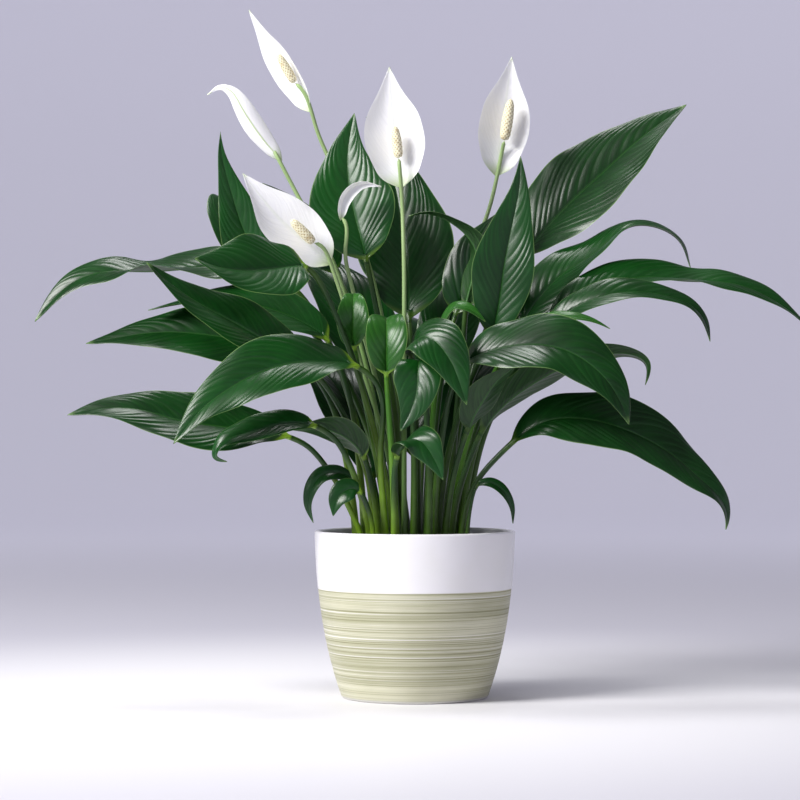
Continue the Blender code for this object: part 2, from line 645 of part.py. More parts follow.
def nursery_radii():
    """Outer radius of the nursery pot at its foot, and just under its lip."""
    upper = pot_radius(NURSERY_TOP) - POT_WALL - NURSERY_ROOM - NURSERY_LIP_WIDTH
    lower = min(upper - NURSERY_TAPER, pot_radius(NURSERY_FOOT) - POT_WALL - NURSERY_ROOM)
    return lower, upper


def make_nursery_pot():
    lower, upper = nursery_radii()
    wall = NURSERY_WALL
    lip = upper + NURSERY_LIP_WIDTH
    lip_foot = NURSERY_NECK + NURSERY_SHOULDER
    outline = [(0.0, NURSERY_FOOT), (lower, NURSERY_FOOT), (upper, NURSERY_NECK), (lip, lip_foot),
               (lip, NURSERY_TOP), (lip - wall, NURSERY_TOP), (upper - wall, lip_foot + wall),
               (lower - wall, NURSERY_FOOT + wall), (0.0, NURSERY_FOOT + wall)]
    return turned(outline)


def nursery_inner_radius(height):
    """Inner radius of the nursery pot at a height between its floor and its shoulder, or above."""
    lower, upper = nursery_radii()
    share = (height - NURSERY_FOOT - NURSERY_WALL) / (NURSERY_NECK + NURSERY_SHOULDER - NURSERY_FOOT)
    return lower - NURSERY_WALL + (upper - lower) * min(share, 1.0)


def make_soil():
    foot = NURSERY_FOOT + NURSERY_WALL + TOUCH_GAP
    edge = SOIL_TOP - SOIL_MOUND
    edge_radius = nursery_inner_radius(edge) - POT_GAP
    outline = [(0.0, foot), (nursery_inner_radius(foot) - POT_GAP, foot), (edge_radius, edge),
               (edge_radius - SOIL_MOUND_WIDTH, SOIL_TOP), (0.0, SOIL_TOP)]
    return turned(outline)


# ---------------------------------------------------------------- materials and scene
def finish(name, colour, roughness, metallic=0.0):
    material = bpy.data.materials.new(name)
    material.use_nodes = True
    shader = material.node_tree.nodes["Principled BSDF"]
    shader.inputs["Base Color"].default_value = (*colour, 1.0)
    shader.inputs["Roughness"].default_value = roughness
    shader.inputs["Metallic"].default_value = metallic
    material.diffuse_color = (*colour, 1.0)
    return material


def place(name, mesh, material):
    """One named object from a mesh, smooth except at sharp corners, with its own copy of a material."""
    data = bpy.data.meshes.new(name)
    mesh.to_mesh(data)
    mesh.free()
    data.materials.append(material)
    data.shade_smooth()
    data.set_sharp_from_angle(angle=math.radians(50))
    part = bpy.data.objects.new(name, data)
    bpy.context.scene.collection.objects.link(part)
    return part


def clear_scene():
    for old in list(bpy.data.objects):
        bpy.data.objects.remove(old, do_unlink=True)


def build_pots():
    place("outer_pot", make_outer_pot(), finish("pot_glaze", (0.82, 0.81, 0.76), 0.3))
    place("nursery_pot", make_nursery_pot(), finish("nursery_plastic", (0.02, 0.02, 0.022), 0.5))
    place("soil", make_soil(), finish("potting_soil", (0.05, 0.03, 0.02), 0.95))


def build_leaves():
    for number, leaf in enumerate(LEAVES):
        shade = 0.09 + 0.05 * ((number * 7) % 5) / 4
        place(leaf.name, make_leaf(leaf), finish(f"{leaf.name}_green", (0.02, shade, 0.025), 0.35))


def build_flowers():
    for flower in FLOWERS:
        place(f"{flower.name}_stalk", make_scape(flower),
              finish(f"{flower.name}_green", (0.3, 0.5, 0.2), 0.5))
        place(f"{flower.name}_spathe", make_spathe(flower),
              finish(f"{flower.name}_white", (0.86, 0.87, 0.85), 0.45))
        if flower.spadix_tip:
            place(f"{flower.name}_spadix", make_spadix(flower),
                  finish(f"{flower.name}_cream", (0.75, 0.66, 0.4), 0.7))


def main():
    clear_scene()
    build_pots()
    build_leaves()
    build_flowers()


main()
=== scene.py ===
"""The finished look of a potted peace lily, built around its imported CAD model.

The CAD model gives every piece its place and size. Each leaf, flower stalk, spathe and spadix is a chain of
eight-point rings there. This script reads those rings and draws a fine skin over them, with the veins, the
midrib, the wavy margins and the thin wall of the living thing. The pots and the soil are turned afresh to the
same sizes. Lengths are in metres, the frame is the CAD frame, and the plant's best side faces -Y.
"""

import logging
import math
import random
from collections.abc import Callable, Sequence
from dataclasses import dataclass, field
from enum import Enum

import bmesh
import bpy
import numpy as np
from mathutils import Matrix, Vector, noise


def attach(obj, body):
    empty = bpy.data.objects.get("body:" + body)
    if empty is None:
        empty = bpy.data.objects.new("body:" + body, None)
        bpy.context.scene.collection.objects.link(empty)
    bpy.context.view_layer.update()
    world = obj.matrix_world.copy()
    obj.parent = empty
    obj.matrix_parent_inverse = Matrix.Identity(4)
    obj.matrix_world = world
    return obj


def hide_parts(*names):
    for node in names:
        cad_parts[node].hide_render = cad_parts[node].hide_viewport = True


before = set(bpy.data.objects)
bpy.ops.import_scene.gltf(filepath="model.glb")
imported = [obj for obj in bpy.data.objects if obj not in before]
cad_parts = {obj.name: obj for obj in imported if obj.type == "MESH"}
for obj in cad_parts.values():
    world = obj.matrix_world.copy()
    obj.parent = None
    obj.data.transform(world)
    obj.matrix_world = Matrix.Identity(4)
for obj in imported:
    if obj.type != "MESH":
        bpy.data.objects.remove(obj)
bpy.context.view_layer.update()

LOG = logging.getLogger("peace_lily")
MM = 0.001
RING_POINTS = 8
BODY = "root"


# ---------------------------------------------------------------- reading the CAD rings
def merged_copy(name: str) -> bmesh.types.BMesh:
    """A copy of a CAD node's mesh with its loose triangles joined.

    Args:
        name: the CAD node.

    Returns:
        The joined mesh, which the caller frees.
    """
    mesh = bmesh.new()
    mesh.from_mesh(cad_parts[name].data)
    bmesh.ops.remove_doubles(mesh, verts=mesh.verts[:], dist=1e-6)
    return mesh


def layers_from(pole: bmesh.types.BMVert) -> list[list[bmesh.types.BMVert]]:
    """The vertices of a mesh in layers, by how many edges away from a pole they are.

    Args:
        pole: the vertex to start from.

    Returns:
        The layers, of which the first holds the pole alone.
    """
    seen = {pole}
    layers = [[pole]]
    while layers[-1]:
        following = []
        for vert in layers[-1]:
            for edge in vert.link_edges:
                other = edge.other_vert(vert)
                if other not in seen:
                    seen.add(other)
                    following.append(other)
        layers.append(following)
    return layers[:-1]


def walk_round(layer: Sequence[bmesh.types.BMVert]) -> list[Vector]:
    """The points of one ring, in order round it.

    Args:
        layer: the ring's vertices, in any order.

    Returns:
        Their places, each next to the one before it.
    """
    inside = set(layer)
    walk = [layer[0]]
    while len(walk) < len(layer):
        ahead = [edge.other_vert(walk[-1]) for edge in walk[-1].link_edges]
        walk.append(next(vert for vert in ahead if vert in inside and vert not in walk))
    return [vert.co.copy() for vert in walk]


def turned_to_match(ring: list[Vector], model: Sequence[Vector]) -> list[Vector]:
    """A ring started and directed so that its points lie nearest to those of the ring before it.

    Args:
        ring: the ring's points, in order round it.
        model: the points of the ring before it.

    Returns:
        The same points, in the matching order.
    """
    choices = []
    for order in (ring, ring[::-1]):
        for start in range(RING_POINTS):
            choice = order[start:] + order[:start]
            miss = sum((a - b).length_squared for a, b in zip(choice, model))
            choices.append((miss, len(choices), choice))
    return min(choices)[2]


@dataclass(frozen=True)
class Rings:
    """A grown node's cross-sections: foot and tip are single points, and points is (rings, 8, 3).

    In each ring the points run from one margin (0) over the upper face (2) to the other margin (4) and back
    under it (6).
    """

    foot: np.ndarray
    tip: np.ndarray
    points: np.ndarray

    @classmethod
    def of(cls, name: str) -> "Rings":
        """The rings of a CAD node.

        Args:
            name: a node that is a chain of rings.

        Returns:
            Its rings, from its lower end.
        """
        mesh = merged_copy(name)
        poles = []
        for vert in mesh.verts:
            if len(vert.link_edges) != RING_POINTS:
                continue
            layers = layers_from(vert)
            if len(layers[-1]) == 1 and all(len(layer) == RING_POINTS for layer in layers[1:-1]):
                poles.append((vert.co.z, len(poles), layers))
        if not poles:
            raise ValueError(f"{name} is not a chain of rings of {RING_POINTS} points")
        layers = min(poles)[2]
        rings = [walk_round(layers[1])]
        for layer in layers[2:-1]:
            rings.append(turned_to_match(walk_round(layer), rings[-1]))
        foot = np.array(layers[0][0].co)
        tip = np.array(layers[-1][0].co)
        mesh.free()
        return cls(foot, tip, cls.from_margin(np.array(rings)))

    @staticmethod
    def from_margin(points: np.ndarray) -> np.ndarray:
        """The rings with the margins at points 0 and 4 and the upper face at point 2.

        Args:
            points: the rings' points, which match from ring to ring but may start anywhere.

        Returns:
            The same points, (rings, 8, 3), started at a margin.
        """
        spans = np.linalg.norm(points[:, :4] - points[:, 4:], axis=2)
        widest, start = np.unravel_index(np.argmax(spans), spans.shape)
        points = np.roll(points, -int(start), axis=1)
        ring = points[widest]
        rise = (ring[0] + ring[4]) / 2 - (ring[2] + ring[6]) / 2
        if np.dot(ring[2] - ring[6], rise) < 0:
            points = np.roll(points[:, ::-1], 1, axis=1)
        return points


# ---------------------------------------------------------------- smooth skins
class Spline:
    """A smooth curve through values at given knots, with no bend at its two ends."""

    def __init__(self, knots: np.ndarray, values: np.ndarray) -> None:
        """Fits the curve.

        Args:
            knots: rising lengths, (n,).
            values: what the curve passes through, (n, k).
        """
        self.knots = knots
        self.values = values
        gaps = np.diff(knots)
        slopes = np.diff(values, axis=0) / gaps[:, None]
        count = len(knots)
        matrix = np.eye(count)
        right = np.zeros_like(values)
        for i in range(1, count - 1):
            matrix[i, i - 1 : i + 2] = gaps[i - 1], 2 * (gaps[i - 1] + gaps[i]), gaps[i]
            right[i] = 6 * (slopes[i] - slopes[i - 1])
        self.bends = np.linalg.solve(matrix, right)

    def at(self, lengths: np.ndarray) -> np.ndarray:
        """The curve's values.

        Args:
            lengths: where to read it, an array of any shape.

        Returns:
            The values, with one more axis than lengths for the k numbers.
        """
        i = np.clip(np.searchsorted(self.knots, lengths) - 1, 0, len(self.knots) - 2)
        gap = (self.knots[i + 1] - self.knots[i])[..., None]
        b = (np.clip(lengths, self.knots[0], self.knots[-1]) - self.knots[i])[..., None] / gap
        a = 1 - b
        bend = (a**3 - a) * self.bends[i] + (b**3 - b) * self.bends[i + 1]
        return a * self.values[i] + b * self.values[i + 1] + bend * gap**2 / 6


def ease(values: np.ndarray, low: float, high: float) -> np.ndarray:
    """Values taken smoothly from 0 at low to 1 at high."""
    share = np.clip((values - low) / (high - low), 0, 1)
    return share * share * (3 - 2 * share)


def unit(vectors: np.ndarray) -> np.ndarray:
    """Vectors, in the last axis, brought to length 1."""
    return vectors / np.maximum(np.linalg.norm(vectors, axis=-1, keepdims=True), 1e-12)


@dataclass(frozen=True)
class Build:
    """How an organ's fine skin is made. Lengths are in metres."""

    thickness: float = 0.0007
    vein_gap: float = 0.0046
    vein_height: float = 0.00042
    ripple: float = 0.0009
    rib: float = 0.62
    groove: float = 0.00035
    rows_per_vein: int = 9
    sink: float = 0.003
    stalk_row_gap: float = 0.004


class Skin:
    """A fine closed skin over a node's rings, stalk and blade in one, with what its materials read."""

    HALF_SHARES = (0.0, 0.014, 0.035, 0.075, 0.14, 0.24, 0.36, 0.49, 0.62, 0.74, 0.85, 0.94, 1.0)
    STEEPEST_SWEEP = 0.45
    SWEEP_PER_WIDTH = 2.0
    MIDDLE_DEPTH = 0.65
    FEWEST_STALK_ROWS = 6
    FEWEST_BLADE_ROWS = 60
    FLATTENED_BY = 0.1
    MARGIN_SQUARENESS = 12
    TIP_RADIUS = 0.0006
    OTHER_SIDE_LAG = 0.37
    FURROW_SHARPNESS = 0.85
    FULL_RELIEF_WIDTH = 0.02
    SWELL_LENGTH = 0.0062
    GROOVE_WIDTH = 0.0007

    def __init__(self, rings: Rings, stalk_rings: int, build: Build, seed: int, tone: float,
                 pale: float = 0.0) -> None:
        """Reads the rings.

        Args:
            rings: the CAD rings.
            stalk_rings: how many of them, from the foot, are the round stalk's.
            build: how the skin is made.
            seed: sets this organ's own ripples.
            tone: a number from 0 to 1 that its material reads as its own shade.
            pale: a number from 0 to 1, the painted light on the stalk's foot: how pale its sheath is painted,
                highest on stalks whose feet stand to the left front, towards the key light.
        """
        self.build = build
        self.tone = tone
        self.pale = pale
        self.dice = random.Random(seed)
        self.stalk_rings = stalk_rings
        points = rings.points
        centres = points[:, 6] + (points[:, 2] - points[:, 6]) * self.MIDDLE_DEPTH
        if stalk_rings:
            centres = np.vstack([centres, rings.tip])
        else:
            centres = np.vstack([rings.foot, centres, rings.tip])
        self.lengths = np.concatenate([[0], np.cumsum(np.linalg.norm(np.diff(centres, axis=0), axis=1))])
        self.middle = Spline(self.lengths, centres)
        self.total = float(self.lengths[-1])
        self.wings = self.wing_vectors(points, centres)
        self.neck = 0.0
        self.radius = np.array([0.0, 0.0])
        if stalk_rings:
            self.neck = self.total
            radii = np.linalg.norm(points[:stalk_rings, 0] - points[:stalk_rings, 4], axis=1) / 2
            if stalk_rings < len(points):
                last = self.lengths[stalk_rings - 1]
                self.neck = float(last + (last - self.lengths[stalk_rings - 2]))
            self.radius = np.append(radii, radii[-1])
            self.radius_lengths = np.append(self.lengths[:stalk_rings], self.neck)
        self.blade_curve = self.fit_blade()
        half_width = float(np.linalg.norm(self.wings[:, [0, 3]], axis=2).max())
        self.sweep = min(self.STEEPEST_SWEEP, self.SWEEP_PER_WIDTH * half_width / max(self.blade_length, MM))
        lean = half_width / math.hypot(half_width, self.sweep * self.blade_length)
        self.veins = self.blade_length * lean / build.vein_gap

    def wing_vectors(self, points: np.ndarray, centres: np.ndarray) -> np.ndarray:
        """Vectors from the middle line out to the margins.

        Args:
            points: the CAD rings' points.
            centres: the middle line's points, one for each ring and each pole.

        Returns:
            For every centre, the vectors to one margin, halfway to it, halfway to the other margin and to the
            other margin: (n, 4, 3).
        """
        first = 0 if self.stalk_rings else 1
        wings = np.zeros((len(centres), 4, 3))
        middle = centres[first : first + len(points), None]
        marks = np.stack([points[:, 0], (points[:, 1] + points[:, 7]) / 2,
                          (points[:, 3] + points[:, 5]) / 2, points[:, 4]], axis=1)
        wings[first : first + len(points)] = marks - middle
        return wings

    def fit_blade(self) -> Spline | None:
        """Fits the blade's width and fold along its length.

        Returns:
            The curve of the wing vectors, from a neck as narrow as the stalk to the tip, or None for a bare
            stalk.
        """
        if self.stalk_rings >= len(self.lengths) - 1:
            return None
        knots = self.lengths[self.stalk_rings :]
        wings = self.wings[self.stalk_rings :]
        if self.stalk_rings:
            narrow = unit(wings[:1]) * self.radius[-1] * np.array([1.0, 0.5, 0.5, 1.0])[None, :, None]
            knots = np.concatenate([[self.neck], knots])
            wings = np.concatenate([narrow, wings])
        return Spline(knots, wings.reshape(len(knots), 12))

    @property
    def blade_length(self) -> float:
        """The length of the midrib."""
        return self.total - self.neck

    def rows(self) -> tuple[np.ndarray, np.ndarray]:
        """The rows of the skin.

        Returns:
            Lengths of the stalk's rows, and places from 0 to 1 of the blade's rows, which run with its veins.
        """
        stalk = np.zeros(0)
        if self.stalk_rings:
            count = max(int(self.neck / self.build.stalk_row_gap), self.FEWEST_STALK_ROWS)
            stalk = np.linspace(0, self.neck, count, endpoint=self.blade_curve is None)
        blade = np.zeros(0)
        if self.blade_curve is not None:
            count = max(int(self.veins * self.build.rows_per_vein), self.FEWEST_BLADE_ROWS)
            blade = np.linspace(0, 1, count)
        return stalk, blade

    def stalk_half(self, lengths: np.ndarray) -> tuple[np.ndarray, np.ndarray]:
        """The stalk's cross-section.

        Args:
            lengths: where to read it, from the foot.

        Returns:
            The direction from side to side, and the radius, at each length.
        """
        marks = self.lengths[: self.stalk_rings]
        sides = unit(self.wings[: self.stalk_rings, 3] - self.wings[: self.stalk_rings, 0])
        if self.blade_curve is not None:
            marks = np.append(marks, self.neck)
            first = self.wings[self.stalk_rings]
            sides = np.vstack([sides, unit(first[3] - first[0])])
        side = unit(np.stack([np.interp(lengths, marks, sides[:, k]) for k in range(3)], axis=-1))
        radius = np.interp(lengths, self.radius_lengths, self.radius)
        return side, radius

    def middle_surface(self) -> dict[str, np.ndarray]:
        """The organ's middle surface and what is known at each of its points.

        Returns:
            Arrays of (rows, 25): place (with 3 numbers), share, along, blade, phase and radius.
        """
        stalk, blade = self.rows()
        half = np.array(self.HALF_SHARES)
        flat = np.concatenate([-half[:0:-1], half])
        count = len(flat)
        round_ = np.sin(np.linspace(-np.pi / 2, np.pi / 2, count))
        parts = []
        if len(stalk):
            lengths = np.repeat(stalk[:, None], count, axis=1)
            side, radius = self.stalk_half(lengths)
            share = np.repeat(round_[None], len(stalk), axis=0)
            place = self.middle.at(lengths) + side * (share * radius)[..., None]
            zero = np.zeros_like(lengths)
            parts.append({"place": place, "share": share, "along": lengths / self.neck, "blade": zero,
                          "phase": (lengths - self.neck) / self.build.vein_gap, "radius": radius,
                          "width": radius.copy()})
        if len(blade):
            parts.append(self.blade_surface(blade, flat, round_))
        return {key: np.concatenate([part[key] for part in parts]) for key in parts[0]}

    def blade_surface(self, starts: np.ndarray, flat: np.ndarray, round_: np.ndarray
                      ) -> dict[str, np.ndarray]:
        """The blade's part of the middle surface, in rows that follow its side veins.

        Args:
            starts: where each row starts on the midrib, from 0 to 1.
            flat: the columns' places across a flat blade, from -1 to 1.
            round_: the same across the round stalk that the blade grows out of.

        Returns:
            What middle_surface gives, for these rows.
        """
        start = np.repeat(starts[:, None], len(flat), axis=1)
        blade = ease(start, 0.0, self.FLATTENED_BY) if self.stalk_rings else np.ones_like(start)
        share = round_[None] * (1 - blade) + flat[None] * blade
        across = np.abs(share)
        bow = 4 * start * (1 - start)
        along = start + self.sweep * bow * (0.55 * across + 0.45 * across**2 - 0.5 * blade)
        along = np.clip(along, 0.0, 1.0)
        lengths = self.neck + along * self.blade_length
        wings = self.blade_curve.at(lengths).reshape(*lengths.shape, 4, 3)
        left = (share < 0)[..., None]
        margin = np.where(left, wings[..., 0, :], wings[..., 3, :])
        middle = np.where(left, wings[..., 1, :], wings[..., 2, :])
        a = across[..., None]
        offset = middle * (4 * a * (1 - a)) + margin * (a * (2 * a - 1))
        width = np.linalg.norm(margin, axis=-1)
        radius = np.full_like(start, self.TIP_RADIUS)
        if self.stalk_rings:
            radius = self.radius[-1] * (1 - start) ** 0.8
        return {"place": self.middle.at(lengths) + offset, "share": share, "along": along, "blade": blade,
                "phase": start * self.veins, "radius": radius, "width": width}

    def heights(self, surface: dict[str, np.ndarray]
                ) -> tuple[np.ndarray, np.ndarray, np.ndarray, np.ndarray]:
        """How the skin stands off its middle surface.

        Args:
            surface: what middle_surface gives.

        Returns:
            The relief that moves both faces, the upper and lower offsets, and the profile, 0 in a furrow.
        """
        build = self.build
        across = np.abs(surface["share"])
        reach = across * surface["width"]
        blade = surface["blade"]
        wander = self.dice.uniform(0, 9)
        phase = surface["phase"] + np.where(surface["share"] < 0, self.OTHER_SIDE_LAG, 0.0)
        phase = phase + 0.3 * np.sin(phase * 0.83 + wander)
        strength = 0.68 + 0.32 * np.sin(phase * 1.9 + 2.0 * wander) * np.sin(phase * 0.7 - wander)
        vein = np.abs(np.sin(np.pi * phase)) ** self.FURROW_SHARPNESS
        calm = ease(across, 0.02, 0.16) * (1 - 0.8 * ease(across, 0.8, 1.0)) * blade * strength
        size = np.clip(surface["width"] / self.FULL_RELIEF_WIDTH, 0.15, 1.0)
        relief = build.vein_height * (vein - 0.55) * calm * size
        wave = surface["along"] * self.blade_length / self.SWELL_LENGTH
        swell = np.sin(wave + wander + surface["share"] * 1.7)
        relief += build.ripple * swell * across**2 * blade * size * 0.6
        edge = np.sqrt(1 - across**self.MARGIN_SQUARENESS)
        rod = np.sqrt(np.maximum(surface["radius"] ** 2 - reach**2, 0))
        rib_size = np.maximum(surface["radius"] * build.rib, 1e-5)
        rib = rib_size * np.exp(-((reach / rib_size) ** 2) * 0.8)
        plate = build.thickness / 2 * edge
        groove = build.groove * np.exp(-((reach / self.GROOVE_WIDTH) ** 2))
        groove = groove * (1 - surface["along"]) * blade
        upper = rod * (1 - blade) + (plate - groove) * blade
        lower = rod * (1 - blade) + (plate + rib) * blade
        return relief, upper, lower, 1 - (1 - vein) * calm

    def normals(self, place: np.ndarray) -> np.ndarray:
        """Directions square to the middle surface, all on one side of it.

        Args:
            place: the surface's points, (rows, columns, 3).

        Returns:
            A unit vector for each point.
        """
        across = np.gradient(place, axis=1)
        along = np.gradient(place, axis=0)
        return unit(np.cross(along, across))

    def upper_sign(self, place: np.ndarray, normal: np.ndarray, points: np.ndarray) -> float:
        """Tells whether the normals point to the CAD's upper side.

        Args:
            place: the middle surface's points.
            normal: its normals.
            points: the CAD rings' points.

        Returns:
            1 if they do, or -1.
        """
        ring = points[0]
        if self.blade_curve is not None:
            ring = points[min(self.stalk_rings + 2, len(points) - 1)]
        spot = (ring[2] + ring[6]) / 2
        column = place.shape[1] // 2
        row = int(np.argmin(np.linalg.norm(place[:, column] - spot, axis=1)))
        return 1.0 if np.dot(normal[row, column], ring[2] - ring[6]) > 0 else -1.0

    def mesh(self, name: str, points: np.ndarray) -> bpy.types.Mesh:
        """The finished mesh.

        Args:
            name: the mesh's name.
            points: the CAD rings, which say which side is the upper one.

        Returns:
            A closed mesh, with a float attribute for each thing that the materials read.
        """
        surface = self.middle_surface()
        place = surface["place"]
        normal = self.normals(place)
        normal *= self.upper_sign(place, normal, points)
        relief, upper, lower, vein = self.heights(surface)
        top = place + normal * (relief + upper)[..., None]
        bottom = place + normal * (relief - lower)[..., None]
        loop = np.concatenate([top, bottom[:, -2:0:-1]], axis=1)
        columns = place.shape[1]
        values = {"across": surface["share"], "along": surface["along"], "blade": surface["blade"],
                  "phase": surface["phase"], "vein": vein}
        floats = {key: np.concatenate([value, value[:, -2:0:-1]], axis=1) for key, value in values.items()}
        face = np.concatenate([[0.5], np.ones(columns - 2), [0.5], np.zeros(columns - 2)])
        floats["upper"] = np.repeat(face[None], len(loop), axis=0)
        floats["tone"] = np.full(loop.shape[:2], self.tone)
        # painted light on the stalk's foot, read by the leaf material
        floats["pale"] = np.full(loop.shape[:2], self.pale)
        if self.stalk_rings:
            loop[0] = loop[0].mean(axis=0) - np.array([0.0, 0.0, self.build.sink])
            loop[1:3] -= np.array([0.0, 0.0, self.build.sink * 0.5])
        else:
            loop[0] = loop[0].mean(axis=0)
        loop[-1] = loop[-1].mean(axis=0)
        return rolled_grid(name, loop, floats)


def rolled_grid(name: str, points: np.ndarray, floats: dict[str, np.ndarray]) -> bpy.types.Mesh:
    """A grid rolled into a closed tube whose first and last rows are single points.

    Args:
        name: the mesh's name.
        points: where the grid's points go, (rows, around, 3).
        floats: values for vertex attributes, each (rows, around).

    Returns:
        The closed mesh, faces out, with a UV map.
    """
    rows, around = points.shape[:2]
    bm = bmesh.new()
    bm.loops.layers.uv.new("skin")
    bmesh.ops.create_grid(bm, x_segments=around, y_segments=rows - 1, size=0.5, calc_uvs=True)
    layers = {key: bm.verts.layers.float.new(key) for key in floats}
    for vert in bm.verts:
        i = round((vert.co.x + 0.5) * around) % around
        j = round((vert.co.y + 0.5) * (rows - 1))
        vert.co = points[j, i]
        for key, layer in layers.items():
            vert[layer] = floats[key][j, i]
    bmesh.ops.remove_doubles(bm, verts=bm.verts[:], dist=1e-7)
    return finished_mesh(name, bm)


def finished_mesh(name: str, bm: bmesh.types.BMesh, sharp_angle: float = 60.0) -> bpy.types.Mesh:
    """A smooth-shaded mesh from a bmesh, with its faces out.

    Args:
        name: the mesh's name.
        bm: the bmesh, which is freed.
        sharp_angle: an edge that turns more than this, in degrees, stays sharp.

    Returns:
        The mesh.
    """
    bmesh.ops.recalc_face_normals(bm, faces=bm.faces[:])
    mesh = bpy.data.meshes.new(name)
    bm.to_mesh(mesh)
    bm.free()
    mesh.shade_smooth()
    mesh.set_sharp_from_angle(angle=math.radians(sharp_angle))
    return mesh


def place_piece(name: str, mesh: bpy.types.Mesh, material: bpy.types.Material,
                node: str | None = None) -> bpy.types.Object:
    """Puts a finished mesh in the scene as a piece of the object.

    Args:
        name: the piece's name.
        mesh: its mesh, already in its place.
        material: its material.
        node: the CAD node that it stands for, if any.

    Returns:
        The new object.
    """
    mesh.materials.append(material)
    piece = bpy.data.objects.new(name, mesh)
    bpy.context.scene.collection.objects.link(piece)
    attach(piece, BODY)
    if node:
        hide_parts(node)
    LOG.info("%s: %d vertices", name, len(mesh.vertices))
    return piece


# ---------------------------------------------------------------- shader helpers
Socket = bpy.types.NodeSocket
Feed = Socket | float | tuple[float, ...]


class Sheet:
    """One node tree, with short ways to add and join its nodes."""

    def __init__(self, tree: bpy.types.NodeTree) -> None:
        """Works on a tree."""
        self.tree = tree

    def feed(self, socket: Socket, value: Feed) -> None:
        """Links a socket to another one, or sets it to a plain value.

        Args:
            socket: an input socket.
            value: an output socket, a number or a colour.
        """
        if isinstance(value, bpy.types.NodeSocket):
            self.tree.links.new(value, socket)
        elif isinstance(value, tuple) and len(value) == 3 and socket.type == "RGBA":
            socket.default_value = (*value, 1.0)
        else:
            socket.default_value = value

    def add(self, kind: str, settings: dict[str, object] | None = None, **inputs: Feed) -> bpy.types.Node:
        """A new node.

        Args:
            kind: its type without the ShaderNode prefix.
            settings: properties of the node.
            inputs: feeds for its input sockets, with _ for a space in a name.

        Returns:
            The node.
        """
        node = self.tree.nodes.new("ShaderNode" + kind)
        for key, value in (settings or {}).items():
            setattr(node, key, value)
        for key, value in inputs.items():
            self.feed(node.inputs[key.replace("_", " ")], value)
        return node

    def maths(self, operation: str, a: Feed, b: Feed = 0.0, clamp: bool = False) -> Socket:
        """Adds a Math node.

        Args:
            operation: what it does.
            a: its first number.
            b: its second number.
            clamp: whether the result is kept from 0 to 1.

        Returns:
            Its result.
        """
        node = self.add("Math", {"operation": operation, "use_clamp": clamp})
        self.feed(node.inputs[0], a)
        self.feed(node.inputs[1], b)
        return node.outputs[0]

    def mix(self, factor: Feed, a: Feed, b: Feed, blend: str = "MIX") -> Socket:
        """Mixes two colours.

        Args:
            factor: how much of the second colour, from 0 to 1.
            a: the first colour.
            b: the second colour.
            blend: the way they are blended.

        Returns:
            The mixed colour.
        """
        node = self.add("Mix", {"data_type": "RGBA", "blend_type": blend})
        self.feed(node.inputs["Factor"], factor)
        self.feed(node.inputs["A"] if node.inputs["A"].type == "RGBA" else node.inputs[6], a)
        self.feed(node.inputs["B"] if node.inputs["B"].type == "RGBA" else node.inputs[7], b)
        return node.outputs[2]

    def band(self, value: Feed, low: float, high: float) -> Socket:
        """A smooth step from 0 at low to 1 at high.

        Args:
            value: what is measured.
            low: where the step starts.
            high: where it ends.

        Returns:
            The step's height.
        """
        node = self.add("MapRange", {"interpolation_type": "SMOOTHSTEP"}, Value=value)
        node.inputs["From Min"].default_value = low
        node.inputs["From Max"].default_value = high
        return node.outputs["Result"]

    def spread(self, value: Feed, low: float, high: float) -> Socket:
        """A value from 0 to 1 spread from low to high.

        Args:
            value: the value.
            low: what 0 becomes.
            high: what 1 becomes.

        Returns:
            The spread value.
        """
        node = self.add("MapRange", Value=value)
        node.inputs["To Min"].default_value = low
        node.inputs["To Max"].default_value = high
        return node.outputs["Result"]

    def read(self, name: str) -> Socket:
        """A float attribute of the piece."""
        return self.add("Attribute", {"attribute_name": name}).outputs["Fac"]

    def grain(self, vector: Socket, scale: Feed, detail: float = 3.0, roughness: float = 0.5) -> Socket:
        """Adds a noise texture.

        Args:
            vector: where it is read.
            scale: how fine it is.
            detail: how many finer layers it has.
            roughness: how strong those are.

        Returns:
            Its value, from 0 to 1.
        """
        return self.add("TexNoise", Vector=vector, Scale=scale, Detail=detail,
                        Roughness=roughness).outputs[0]

    def group(self, tree: bpy.types.NodeTree, **inputs: Feed) -> bpy.types.Node:
        """Places a node group.

        Args:
            tree: the group.
            inputs: feeds for its input sockets, with _ for a space in a name.

        Returns:
            The group's node.
        """
        node = self.add("Group")
        node.node_tree = tree
        for key, value in inputs.items():
            self.feed(node.inputs[key.replace("_", " ")], value)
        return node


def new_group(name: str, inputs: dict[str, float], outputs: Sequence[str],
              fill: Callable[[Sheet, bpy.types.Node, bpy.types.Node], None]) -> bpy.types.NodeTree:
    """A shader node group of float sockets.

    Args:
        name: the group's name.
        inputs: its inputs and their usual values.
        outputs: its outputs.
        fill: adds the nodes between them.

    Returns:
        The group.
    """
    tree = bpy.data.node_groups.new(name, "ShaderNodeTree")
    for key, value in inputs.items():
        tree.interface.new_socket(key, in_out="INPUT", socket_type="NodeSocketFloat").default_value = value
    for key in outputs:
        tree.interface.new_socket(key, in_out="OUTPUT", socket_type="NodeSocketFloat")
    fill(Sheet(tree), tree.nodes.new("NodeGroupInput"), tree.nodes.new("NodeGroupOutput"))
    return tree


def fill_striae(sheet: Sheet, given: bpy.types.Node, out: bpy.types.Node) -> None:
    """Fine lines that run with the side veins, from each point's place across and between them.

    Args:
        sheet: the group's tree.
        given: its input node.
        out: its output node.
    """
    place = sheet.add("CombineXYZ", X=sheet.maths("MULTIPLY", sheet.read("across"), given.outputs["Run"]),
                      Y=sheet.maths("MULTIPLY", sheet.read("phase"), given.outputs["Density"]))
    lines = sheet.grain(place.outputs[0], 1.0, 4.0, 0.6)
    sheet.feed(out.inputs["Lines"], sheet.band(lines, 0.3, 0.7))


